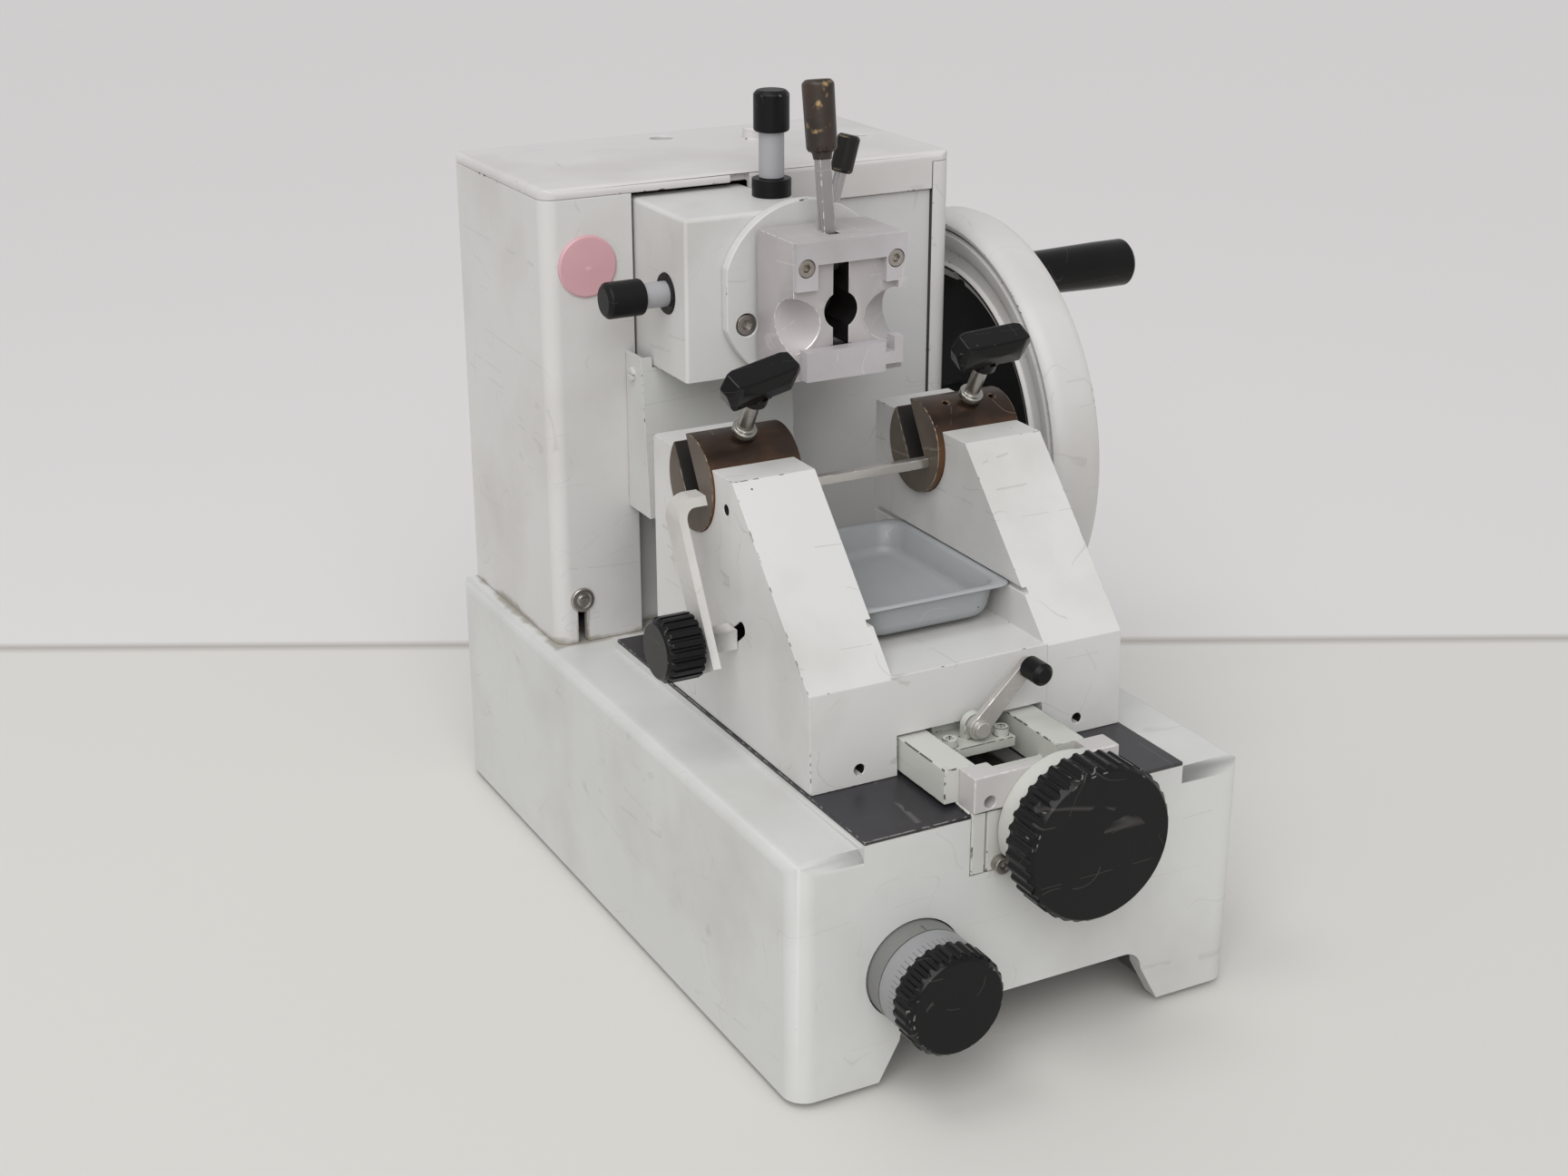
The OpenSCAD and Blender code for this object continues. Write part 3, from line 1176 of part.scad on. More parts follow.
// Bent strip from the end of the left jaw down to the clamping knob, with the stud's spacer
module tilt_arm() color(enamel) difference() {
    union() {
        intersection() {
            translate([0, knife_y, knife_z]) rotate([90, 0, 0]) linear_extrude(200, center = true) {
                difference() {
                    union() {
                        translate([arm_x[0], -90]) square([arm_bend, 90 + arm_shelf_z[1] - arm_bend]);
                        translate([arm_x[0] + arm_bend, arm_shelf_z[1] - arm_bend]) circle(arm_bend);
                    }
                    translate([arm_x[0] + arm_t, -90 - cut]) square([arm_bend + cut, 90 + arm_shelf_z[1] - arm_bend + cut]);
                    translate([arm_x[0] + arm_bend, arm_shelf_z[1] - arm_bend]) circle(arm_bend - arm_t);
                    translate([arm_x[0] + arm_bend, arm_shelf_z[1] - 3*arm_bend]) square(3*arm_bend);
                }
                translate([arm_x[0] + arm_bend - cut, arm_shelf_z[0]]) square([arm_x[1] - arm_x[0] - arm_bend + cut, arm_t]);
            }
            plate_x([arm_x[0] - cut, arm_x[1] + cut]) translate([knife_y, knife_z])
                polygon([[-13.2, 0], [-13.2, -1.3], [-45.2, -60], [-34.7, -65.8], [-4.7, -11.1], [-4.7, 0]]);
        }
        slab([arm_x[0] + arm_t - cut, holder_l_x - 0.3], [arm_knob_y - arm_spacer/2, arm_knob_y + arm_spacer/2],
            [arm_knob_z - arm_spacer/2, arm_knob_z + arm_spacer/2]);
    }
    bar_x(arm_stud_r + run, [arm_x[0] - cut, holder_l_x], arm_knob_y, arm_knob_z);
}

module rest_bar() color(satin)
    slab([jaw_l[1], jaw_rt[0]], [rest_bar_y - rest_bar/2, rest_bar_y + rest_bar/2],
        [rest_bar_z - rest_bar/2, rest_bar_z + rest_bar/2]);

// Stud, washer and pointed oval wing, thinner to its top and its bottom
module wing_screw(x, turn) wing_axis(x) {
    color(steel) {
        translate([0, 0, wing_tip]) cylinder(r = wing_stud_r, h = wing_start + 3 - wing_tip);
        translate([0, 0, wing_seat]) cylinder(r = 5, h = 3);
    }
    w = wing_w/2;
    color(rubber_black) rotate([0, 0, turn]) difference() {
        union() {
            intersection() {
                translate([0, 0, wing_body[0]]) linear_extrude(wing_body[2] - wing_body[0]) intersection() {
                    translate([0, 40 - w]) circle(40);
                    translate([0, w - 40]) circle(40);
                }
                rotate([90, 0, 0]) linear_extrude(3*w, center = true)
                    polygon([for (i = [0:2]) [wing_half[i], wing_body[i]], for (i = [2:-1:0]) [-wing_half[i], wing_body[i]]]);
                rotate([90, 0, 90]) linear_extrude(80, center = true)
                    polygon([[w - 2.5, wing_body[0]], [w, wing_body[1]], [w - 2, wing_body[2]],
                        [2 - w, wing_body[2]], [-w, wing_body[1]], [2.5 - w, wing_body[0]]]);
            }
            translate([0, 0, wing_start]) cylinder(r = 5.3, h = wing_body[0] - wing_start + 1);
        }
        translate([0, 0, wing_start - cut]) cylinder(r = wing_stud_r + run, h = 3 + cut + run);
    }
}

module left_wing_screw() wing_screw(wing_x[0], wing_turn[0]);
module right_wing_screw() wing_screw(wing_x[1], wing_turn[1]);

// Clamping knob of the tilt arm: fluted knob, washer and stud
module tilt_knob() {
    color(rubber_black) translate([arm_knob_x, arm_knob_y, arm_knob_z]) rotate([0, -90, 0])
        fluted_knob(arm_knob_r, arm_knob_l, 20, arm_stud_r + run);
    color(satin) {
        bar_x(arm_stud_r, [arm_knob_x - arm_knob_l + 4.5, holder_l_x + 12], arm_knob_y, arm_knob_z);
        bar_x(5.5, [arm_knob_x, arm_x[0] - 0.2], arm_knob_y, arm_knob_z);
    }
}

// ---------------------------------------------------------------- front knobs

module feed_knob() {
    back = feed_bearing_y - face;
    color(rubber_black) translate([feed_x, back, feed_z]) rotate([90, 0, 0])
        fluted_knob(feed_knob_r, feed_knob_d, 36, feed_screw_r + run);
    color(steel) {
        bar_y(feed_screw_r, feed_x, [back - feed_knob_d + 4.5, feed_screw_end - 8.3], feed_z);
        bar_y(feed_screw_r - 1, feed_x, [feed_screw_end - 9, feed_screw_end], feed_z);
    }
}

// Graduated ring with the thickness shaft and its cam
module thickness_dial() color(stem_grey) {
    bar_y(dial_r, dial_axis, [dial_front, y_front - 8.3], dial_z);
    bar_y(dial_shaft_r, dial_axis, [dial_front, cam_y[1] + 2], dial_z);
    bar_y(dial_shaft_r + 7, dial_axis + 4, cam_y, dial_z);
}

module thickness_knob() color(rubber_black) translate([dial_axis, dial_front, dial_z]) rotate([90, 0, 0])
    fluted_knob(dial_knob_r, dial_knob_d, 28, 3);

base_casting();
rubber_pads();
way_plate();
tower_cover();
tower_lid();
front_panel();
lower_shield();
blank_badge();
cover_screws();
inner_column();
guide_rods();
shaft_bush();
index_ring();
feed_bracket();
feed_crosspiece();
feed_bearing();
bracket_screws();
handwheel();
crankshaft();
handle_axle();
handle_grip();
die_block();
carriage();
yoke();
slide_shutter();
head_block();
feed_quill();
front_flange();
flange_screws();
knob_bushes();
feed_spindle();
ratchet_wheel();
feed_pawl();
top_knob();
left_knob();
gimbal_ring();
tilt_block();
clamp_block();
upper_jaw();
jaw_screws();
lower_jaw();
jaw_lever();
jaw_grip();
lock_lever();
lock_grip();
knife_holder();
feed_nut();
lever_plate();
clamp_lever();
lever_button();
waste_tray();
knife_jaws();
tilt_arm();
rest_bar();
left_wing_screw();
right_wing_screw();
tilt_knob();
feed_knob();
thickness_dial();
thickness_knob();
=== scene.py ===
# Rotary microtome, dressed for rendering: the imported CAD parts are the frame, and each
# section below finishes one piece, or one group of like pieces, of the instrument.
import json
import math
from functools import partial

import bmesh
import bpy
from mathutils import Matrix, Vector
from mathutils.bvhtree import BVHTree


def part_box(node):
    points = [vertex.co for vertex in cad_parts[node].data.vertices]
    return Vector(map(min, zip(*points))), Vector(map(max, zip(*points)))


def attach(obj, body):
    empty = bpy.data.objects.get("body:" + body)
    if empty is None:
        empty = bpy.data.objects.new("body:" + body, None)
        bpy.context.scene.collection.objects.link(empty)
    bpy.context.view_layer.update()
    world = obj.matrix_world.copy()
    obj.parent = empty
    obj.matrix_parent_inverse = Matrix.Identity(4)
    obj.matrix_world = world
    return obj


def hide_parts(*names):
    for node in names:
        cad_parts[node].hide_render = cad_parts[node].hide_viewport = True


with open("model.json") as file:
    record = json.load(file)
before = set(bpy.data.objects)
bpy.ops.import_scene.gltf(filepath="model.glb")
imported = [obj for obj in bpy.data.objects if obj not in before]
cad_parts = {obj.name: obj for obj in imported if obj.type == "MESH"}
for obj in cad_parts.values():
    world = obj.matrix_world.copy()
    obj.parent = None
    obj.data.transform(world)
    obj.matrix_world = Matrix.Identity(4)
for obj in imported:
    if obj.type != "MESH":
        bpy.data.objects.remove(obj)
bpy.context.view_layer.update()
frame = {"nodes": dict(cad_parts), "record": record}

# ---- Camera: a hand-held camera at the front left corner, a little above the instrument,
# looking down on it. It turns by yaw from +Y towards +X and dips by pitch.
camera_place = Vector((-0.4366, -0.7915, 0.4837))
camera_yaw, camera_pitch, camera_roll = (math.radians(a) for a in (28.03, 21.21, -0.067))
camera_data = bpy.data.cameras.new("camera")
camera_data.sensor_width = 36.0
camera_data.lens = 52.24
camera_data.clip_start = 0.01
camera = bpy.data.objects.new("camera", camera_data)
camera.matrix_world = (Matrix.Translation(camera_place) @ Matrix.Rotation(-camera_yaw, 4, "Z")
                       @ Matrix.Rotation(math.pi / 2 - camera_pitch, 4, "X")
                       @ Matrix.Rotation(camera_roll, 4, "Z"))
bpy.context.scene.collection.objects.link(camera)
bpy.context.scene.camera = camera
bpy.context.scene.view_settings.view_transform = "Standard"

# ---- Bench and room: a pale laminate bench before a pale wall, in even daylight from all
# round that comes a little more from the upper left, with one soft lamp overhead. The wall is a
# second tone on the far bench, and the dark line where the two meet is painted shade.
bench_size, bench_roughness = 30.0, 0.6
near_bench, far_bench, joint_shade_tone = (214, 212, 207), (220, 217, 216), (176, 170, 164)
joint_reach, joint_turn = 0.2585, -0.0136  # metres from the origin, radians off the camera's yaw
joint_near, joint_far = 0.0015, 0.002      # where the joint line fades out, in half metres
room_tone, room_light = (0.98, 0.99, 1.0, 1), 0.56
sky_turn, sky_height, sky_spread, sky_strength = -32, 41, 50, 1.62
lamp_place, lamp_aim, lamp_size, lamp_strength = Vector((-0.5, -0.1, 1.3)), Vector((0, 0, 0.1)), 0.5, 2.5


def tone(red, green, blue):
    """A colour given as 8-bit display values, as the linear colour that a shader takes."""
    return tuple(((v / 255 + 0.055) / 1.055) ** 2.4 for v in (red, green, blue)) + (1.0,)


def socket(tree, target, value):
    """Links or sets one input: value is another node's output, a number or a colour."""
    if isinstance(value, bpy.types.NodeSocket):
        tree.links.new(value, target)
    else:
        target.default_value = value


def shader_of(material):
    """The material's emptied node tree and its one Principled shader, wired to the output."""
    material.use_nodes = True
    tree = material.node_tree
    tree.nodes.clear()
    out = tree.nodes.new("ShaderNodeOutputMaterial")
    shader = tree.nodes.new("ShaderNodeBsdfPrincipled")
    tree.links.new(shader.outputs[0], out.inputs["Surface"])
    return tree, shader


def as_object(name, edit):
    """A finished bmesh as an object of that name in the scene."""
    mesh = bpy.data.meshes.new(name)
    edit.to_mesh(mesh)
    edit.free()
    made = bpy.data.objects.new(name, mesh)
    bpy.context.scene.collection.objects.link(made)
    return made


bench_edit = bmesh.new()
bmesh.ops.create_grid(bench_edit, x_segments=2, y_segments=2, size=bench_size)
bench = as_object("bench", bench_edit)
bench_laminate = bpy.data.materials.new("bench_laminate")
tree, shader = shader_of(bench_laminate)
place = tree.nodes.new("ShaderNodeTexCoord")
joint = tree.nodes.new("ShaderNodeVectorMath")
joint.operation = "DOT_PRODUCT"
joint.inputs[1].default_value = (math.sin(camera_yaw + joint_turn), math.cos(camera_yaw + joint_turn), 0)
tree.links.new(place.outputs["Object"], joint.inputs[0])
bands = tree.nodes.new("ShaderNodeValToRGB")
bands.color_ramp.elements[0].color = tone(*near_bench)
bands.color_ramp.elements[0].position = 0.5 - joint_near
bands.color_ramp.elements[1].color = tone(*far_bench)
bands.color_ramp.elements[1].position = 0.5 + joint_far
# The darker joint line is painted shade where the wall meets the bench
bands.color_ramp.elements.new(0.5).color = tone(*joint_shade_tone)
past_joint = tree.nodes.new("ShaderNodeMath")
past_joint.operation = "MULTIPLY_ADD"
past_joint.inputs[1].default_value = 0.5
past_joint.inputs[2].default_value = 0.5 - joint_reach * 0.5
tree.links.new(joint.outputs["Value"], past_joint.inputs[0])
tree.links.new(past_joint.outputs[0], bands.inputs[0])
tree.links.new(bands.outputs[0], shader.inputs["Base Color"])
shader.inputs["Roughness"].default_value = bench_roughness
bench.data.materials.append(bench_laminate)

room = bpy.data.worlds.new("room")
bpy.context.scene.world = room
room.use_nodes = True
room.node_tree.nodes["Background"].inputs["Color"].default_value = room_tone
room.node_tree.nodes["Background"].inputs["Strength"].default_value = room_light

sky = bpy.data.lights.new("sky_light", "SUN")
sky.energy = sky_strength
sky.angle = math.radians(sky_spread)
sky_lamp = bpy.data.objects.new("sky_light", sky)
sky_lamp.rotation_euler = (math.radians(90 - sky_height), 0, math.radians(sky_turn))
bpy.context.scene.collection.objects.link(sky_lamp)

ceiling = bpy.data.lights.new("ceiling_light", "AREA")
ceiling.shape = "DISK"
ceiling.size = lamp_size
ceiling.energy = lamp_strength
ceiling_lamp = bpy.data.objects.new("ceiling_light", ceiling)
ceiling_lamp.location = lamp_place
ceiling_lamp.rotation_euler = (lamp_aim - lamp_place).to_track_quat("-Z", "Y").to_euler()
bpy.context.scene.collection.objects.link(ceiling_lamp)

# ---- Base casting: one hollow iron casting with a way across its top, filled, rubbed down
# and sprayed with thick pale grey enamel. The enamel is chipped to dark primer along the
# edges, and dust and oil have settled along the seams; round the tower's foot the darkening
# is dirt and painted shade.
enamel_tone = tone(205, 205, 203)
primer_tone = tone(84, 80, 74)
grime_tone = tone(122, 112, 92)
seam_level, foot_spread = 0.101, 0.0022
tower_foot = (-0.093, 0.103, 0.0625, 0.1665)  # left, right, front and back, in metres


def calc(tree, operation, *values, clamp=False):
    """One maths node on sockets or numbers; its output."""
    node = tree.nodes.new("ShaderNodeMath")
    node.operation = operation
    node.use_clamp = clamp
    for place, value in enumerate(values):
        socket(tree, node.inputs[place], value)
    return node.outputs[0]


def mixed(tree, factor, first, second):
    """The colour between first and second."""
    node = tree.nodes.new("ShaderNodeMix")
    node.data_type = "RGBA"
    socket(tree, node.inputs[0], factor)
    socket(tree, node.inputs[6], first)
    socket(tree, node.inputs[7], second)
    return node.outputs[2]


def here(tree):
    """The place on the piece, in metres, in the instrument's own frame."""
    return tree.nodes.new("ShaderNodeTexCoord").outputs["Object"]


def axes(tree):
    """The x, y and z of the place on the piece, as three sockets."""
    place = tree.nodes.new("ShaderNodeSeparateXYZ")
    tree.links.new(here(tree), place.inputs[0])
    return place.outputs


def cloud(tree, scale, detail=2.0, stretch=(1, 1, 1), turn=(0, 0, 0)):
    """Soft noise, about 0.5 in the middle. scale is in features a metre."""
    place = tree.nodes.new("ShaderNodeMapping")
    tree.links.new(here(tree), place.inputs["Vector"])
    place.inputs["Scale"].default_value = stretch
    place.inputs["Rotation"].default_value = turn
    node = tree.nodes.new("ShaderNodeTexNoise")
    node.inputs["Scale"].default_value = scale
    node.inputs["Detail"].default_value = detail
    tree.links.new(place.outputs[0], node.inputs["Vector"])
    return node.outputs["Fac"]


def new_group(name, inputs, outputs):
    """An empty shader node group with (label, kind, value) inputs and (label, kind) outputs."""
    group = bpy.data.node_groups.new(name, "ShaderNodeTree")
    for label, kind, value in inputs:
        made = group.interface.new_socket(label, in_out="INPUT", socket_type="NodeSocket" + kind)
        made.default_value = value
    for label, kind in outputs:
        group.interface.new_socket(label, in_out="OUTPUT", socket_type="NodeSocket" + kind)
    return group, group.nodes.new("NodeGroupInput").outputs, group.nodes.new("NodeGroupOutput").inputs


# The finish of every painted, metal or plastic piece: clouds of dirt, small pits, bare or
# chipped edges, fine scratches, and the height of the surface's grain. Scales are in
# features a metre.
dirt_scale, dirt_from, dirt_contrast, dirt_roughness = 16, 0.47, 3.2, 0.25
pit_scale, pit_size, pit_depth = 95, 0.055, 0.8
chip_scale, cluster_scale, cluster_share = 330, 28, 0.7
chip_from, chip_gain, chip_contrast = 1.22, 0.62, 14.0
scratch_scale, cross_scale, scratch_sharpness, scratch_share = 26, 31, 260.0, 0.7
scratched_scale, scratched_from = 60, 0.52
shade_scale, shade_depth = 9, 0.16
smear_scale, smear_depth = 70, 0.12
grain_scale = 520
aged_surface, given, gives = new_group("aged surface", [
    ("Colour", "Color", enamel_tone), ("Dirt Colour", "Color", grime_tone), ("Dirt", "Float", 0.0),
    ("Pits", "Float", 0.0), ("Bare Colour", "Color", primer_tone), ("Wear", "Float", 0.0),
    ("Scratches", "Float", 0.0), ("Roughness", "Float", 0.4), ("Bare Roughness", "Float", 0.6),
    ("Metal", "Float", 0.0), ("Bare Metal", "Float", 0.0), ("Grain", "Float", 0.3)], [
    ("Colour", "Color"), ("Roughness", "Float"), ("Metallic", "Float"), ("Height", "Float")])
work, clouds = partial(calc, aged_surface), partial(cloud, aged_surface)
patches = work("MULTIPLY", work("SUBTRACT", clouds(dirt_scale, 5), dirt_from), dirt_contrast, clamp=True)
dirt = work("MULTIPLY", given["Dirt"], patches, clamp=True)
cells = aged_surface.nodes.new("ShaderNodeTexVoronoi")
cells.inputs["Scale"].default_value = pit_scale
aged_surface.links.new(here(aged_surface), cells.inputs["Vector"])
pick_cell = aged_surface.nodes.new("ShaderNodeSeparateColor")
aged_surface.links.new(cells.outputs["Color"], pick_cell.inputs[0])
in_pit = work("LESS_THAN", cells.outputs["Distance"], work("MULTIPLY", pick_cell.outputs[1], pit_size))
pits = work("MULTIPLY", in_pit, work("GREATER_THAN", pick_cell.outputs[0], work("SUBTRACT", 1.0, given["Pits"])))
edge = aged_surface.nodes.new("ShaderNodeAttribute")
edge.attribute_name = "edge"
broken = work("ADD", clouds(chip_scale, 3), work("MULTIPLY", clouds(cluster_scale, 2), cluster_share))
holds = work("SUBTRACT", chip_from, work("MULTIPLY", given["Wear"], chip_gain))
chipping = work("MULTIPLY", work("SUBTRACT", broken, holds), chip_contrast, clamp=True)
chips = work("MULTIPLY", edge.outputs["Fac"], chipping)
lines = work("ABSOLUTE", work("SUBTRACT", clouds(scratch_scale, 1, (1, 0.06, 1), (0.3, 0.2, 0.9)), 0.5))
crossing = work("ABSOLUTE", work("SUBTRACT", clouds(cross_scale, 1, (0.05, 1, 1), (0.1, 0.5, -0.4)), 0.5))
fine = work("SUBTRACT", 1.0, work("MULTIPLY", work("MINIMUM", lines, crossing), scratch_sharpness), clamp=True)
scratched = work("MULTIPLY", work("MULTIPLY", fine, given["Scratches"]),
                 work("GREATER_THAN", clouds(scratched_scale, 2), scratched_from))
bare = work("MAXIMUM", chips, work("MULTIPLY", scratched, scratch_share))
shade = work("MULTIPLY", work("SUBTRACT", clouds(shade_scale, 3), 0.5), shade_depth)
toned = aged_surface.nodes.new("ShaderNodeHueSaturation")
aged_surface.links.new(given["Colour"], toned.inputs["Color"])
socket(aged_surface, toned.inputs["Value"], work("ADD", 1.0, shade))
dirty = mixed(aged_surface, dirt, toned.outputs[0], given["Dirt Colour"])
pitted = mixed(aged_surface, pits, dirty, primer_tone)
socket(aged_surface, gives["Colour"], mixed(aged_surface, bare, pitted, given["Bare Colour"]))
rough = work("ADD", given["Roughness"], work("MULTIPLY", dirt, dirt_roughness))
rough = work("ADD", rough, work("MULTIPLY", bare, work("SUBTRACT", given["Bare Roughness"], given["Roughness"])))
smears = work("MULTIPLY", work("SUBTRACT", clouds(smear_scale, 4), 0.5), smear_depth)
socket(aged_surface, gives["Roughness"], work("ADD", rough, smears, clamp=True))
more_metal = work("MULTIPLY", bare, work("SUBTRACT", given["Bare Metal"], given["Metal"]))
socket(aged_surface, gives["Metallic"], work("ADD", given["Metal"], more_metal, clamp=True))
grain = work("MULTIPLY", clouds(grain_scale, 2), given["Grain"])
lost = work("ADD", bare, work("MULTIPLY", pits, pit_depth))
socket(aged_surface, gives["Height"], work("SUBTRACT", grain, lost))

# Dirt and painted shade along a seam: it reaches unevenly to either side. Distance is from the seam, in metres
ragged_scale, ragged_from, ragged_reach = 90, 0.45, 4.0
seam_dirt_and_shade, given, gives = new_group("seam dirt and shade", [
    ("Colour", "Color", enamel_tone), ("Dirt Colour", "Color", grime_tone), ("Distance", "Float", 0.1),
    ("Spread", "Float", 0.004), ("Amount", "Float", 0.5)], [("Colour", "Color")])
work = partial(calc, seam_dirt_and_shade)
away = work("DIVIDE", work("ABSOLUTE", given["Distance"]), given["Spread"])
ragged = work("MULTIPLY", work("SUBTRACT", cloud(seam_dirt_and_shade, ragged_scale, 4), ragged_from), ragged_reach)
reached = work("SUBTRACT", ragged, work("SUBTRACT", away, 1.0), clamp=True)
near = work("MULTIPLY", reached, given["Amount"])
socket(seam_dirt_and_shade, gives["Colour"], mixed(seam_dirt_and_shade, near, given["Colour"], given["Dirt Colour"]))
bump_height = 0.0004


def apply_group(tree, group, **values):
    """A node group in a material, with its inputs by name; its outputs."""
    node = tree.nodes.new("ShaderNodeGroup")
    node.node_tree = group
    for label, value in values.items():
        socket(tree, node.inputs[label.replace("_", " ").title()], value)
    return node.outputs


def aged(name, colour, roughness, metal=0.0, dirt=0.0, dirt_colour=grime_tone, pits=0.0, wear=0.0,
         bare_colour=primer_tone, bare_roughness=0.6, bare_metal=0.0, scratches=0.0, grain=0.3,
         relief=0.12, shine=0.5, over=None):
    """A material of the aged surface; over(tree, colour) may lay a local effect over its colour."""
    material = bpy.data.materials.new(name)
    tree, shader = shader_of(material)
    made = apply_group(tree, aged_surface, colour=colour, dirt_colour=dirt_colour, dirt=dirt, pits=pits,
                       bare_colour=bare_colour, wear=wear, scratches=scratches, roughness=roughness,
                       bare_roughness=bare_roughness, metal=metal, bare_metal=bare_metal, grain=grain)
    shader.inputs["Specular IOR Level"].default_value = shine
    shown = over(tree, made["Colour"]) if over else made["Colour"]
    tree.links.new(shown, shader.inputs["Base Color"])
    tree.links.new(made["Roughness"], shader.inputs["Roughness"])
    tree.links.new(made["Metallic"], shader.inputs["Metallic"])
    bump = tree.nodes.new("ShaderNodeBump")
    bump.inputs["Strength"].default_value = relief
    bump.inputs["Distance"].default_value = bump_height
    tree.links.new(made["Height"], bump.inputs["Height"])
    tree.links.new(bump.outputs[0], shader.inputs["Normal"])
    return material


def enamelled(name, colour, **values):
    """Thick glossy enamel with its chips, pits and grime."""
    settings = dict(dirt=0.22, pits=0.14, wear=0.4, scratches=0.2, grain=0.5)
    settings.update(values)
    return aged(name, colour, 0.42, **settings)


# An eased face may lie this far from the CAD's: metres, and a share of the width
slack, stray_share = 0.00004, 0.8
# Metres: a shorter edge, or one beside a narrower face, stays sharp; points this near are one
thinnest, shortest, same_place = 0.00015, 1e-5, 2e-6
# Degrees: below flat_angle two faces are one, from bend_angle up they are part of a curve, and
# above crease_angle the shading breaks
flat_angle, bend_angle, crease_angle = 0.1, 0.2, 40
# Shares of the width, each with the bevel sliding along its neighbours or not
ease_tries = ((1, False), (1, True), (0.6, False), (0.6, True), (0.35, False), (0.35, True), (0, False))
body_of_node = {node: body for body, nodes in frame["record"]["behaviour"]["bodies"].items() for node in nodes}


def paint(material, *nodes):
    """Gives CAD nodes that keep their own mesh a material."""
    for name in nodes:
        mesh = frame["nodes"][name].data
        mesh.materials.clear()
        mesh.materials.append(material)


def islands(edit):
    """The faces of each loose part of a mesh, as lists."""
    seen, groups = set(), []
    for start in edit.faces:
        if start in seen:
            continue
        seen.add(start)
        group, waiting = [], [start]
        while waiting:
            face = waiting.pop()
            group.append(face)
            for vert in face.verts:
                for other in vert.link_faces:
                    if other not in seen:
                        seen.add(other)
                        waiting.append(other)
        groups.append(group)
    return groups


def samples(edit):
    """Points spread over a mesh of triangles."""
    for face in edit.faces:
        a, b, c = (vert.co for vert in face.verts)
        yield (a + b + c) / 3
        for one, two, three in ((a, b, c), (b, c, a), (c, a, b)):
            yield one * 0.7 + two * 0.15 + three * 0.15


def strays(eased, source, allowed):
    """Whether a point of one mesh lies further than allowed from the other: a spike or a hole."""
    flat = eased.copy()
    bmesh.ops.triangulate(flat, faces=flat.faces)
    pairs = (flat, BVHTree.FromBMesh(source)), (source, BVHTree.FromBMesh(flat))
    found = any(tree.find_nearest(point)[3] > allowed for mesh, tree in pairs for point in samples(mesh))
    flat.free()
    return found


def ease(node, materials, width, steps=2, pick=None, pick_face=None, sharpest=30, shape=None):
    """A copy of a CAD node with its edges eased to the width in metres, standing for the node.
    A shape given for the node is used in its stead, and its flat faces are shaded flat.
    Where the full width would tear a narrow corner, a smaller share of it is used. The eased
    faces carry the edge attribute. pick(low, high) or pick_face(middle, normal) gives
    the place in materials for a loose part or a face."""
    source = bmesh.new()
    source.from_mesh(shape or frame["nodes"][node].data)
    bmesh.ops.triangulate(source, faces=source.faces)
    for share, slide in ease_tries:
        edit = bmesh.new()
        edit.from_mesh(shape or frame["nodes"][node].data)
        bmesh.ops.remove_doubles(edit, verts=edit.verts, dist=same_place)
        bmesh.ops.dissolve_limit(edit, angle_limit=math.radians(flat_angle), verts=edit.verts, edges=edit.edges)
        edge = edit.faces.layers.float.new("edge")
        crisp = [e for e in edit.edges if len(e.link_faces) == 2 and e.calc_length() > shortest
                 and e.calc_face_angle(0.0) > math.radians(sharpest)
                 and min(face.calc_area() for face in e.link_faces) / e.calc_length() > thinnest]
        if not share:
            break
        eased = bmesh.ops.bevel(edit, geom=crisp, offset=width * share, offset_type="OFFSET", segments=steps,
                                profile=0.5, affect="EDGES", clamp_overlap=False, loop_slide=slide, material=-1)
        if not strays(edit, source, width * share * stray_share + slack):
            for face in eased["faces"]:
                if face.is_valid:
                    face[edge] = 1.0
            break
        edit.free()
    source.free()
    for face in edit.faces:
        bends = [e.calc_face_angle(0.0) for e in face.edges if not any(side[edge] for side in e.link_faces)]
        curved = any(math.radians(bend_angle) < bend < math.radians(sharpest) for bend in bends)
        face.smooth = not shape or curved or face[edge] > 0
        face.material_index = 0
        if pick_face:
            face.material_index = pick_face(face.calc_center_median(), face.normal)
    if pick:
        for group in islands(edit):
            places = [vert.co for face in group for vert in face.verts]
            low = Vector([min(place[axis] for place in places) for axis in range(3)])
            high = Vector([max(place[axis] for place in places) for axis in range(3)])
            for face in group:
                face.material_index = pick(low, high)
    piece = as_object(node + "_eased", edit)
    for material in materials:
        piece.data.materials.append(material)
    piece.data.set_sharp_from_angle(angle=math.radians(crease_angle))
    if not shape:
        level = piece.modifiers.new("flat faces stay flat", "WEIGHTED_NORMAL")
        level.keep_sharp = True
        level.weight = 100
    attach(piece, body_of_node[node])
    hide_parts(node)


def base_foot_dirt_and_shade(tree, colour):
    """Dirt and painted shade on the base where the tower stands on it."""
    work = partial(calc, tree)
    x, y, z = axes(tree)
    left, right, front, back = tower_foot
    aside = work("MAXIMUM", work("SUBTRACT", left, x), work("SUBTRACT", x, right))
    along = work("MAXIMUM", work("SUBTRACT", front, y), work("SUBTRACT", y, back))
    below = work("SUBTRACT", seam_level - 0.001, z)
    distance = work("MAXIMUM", below, work("MAXIMUM", aside, along))
    return apply_group(tree, seam_dirt_and_shade, colour=colour, dirt_colour=grime_tone, distance=distance,
                       spread=foot_spread, amount=0.55)["Colour"]


base_enamel = enamelled("base_enamel", enamel_tone, over=base_foot_dirt_and_shade)
ease("base_casting", [base_enamel], 0.0007)

# ---- Feet: four moulded rubber pads under the corners of the base, screwed on from below.
# They are matt and dusty.
rubber = aged("rubber", tone(38, 37, 36), 0.8, dirt=0.6, grain=0.8, relief=0.2)
paint(rubber, "rubber_pads")

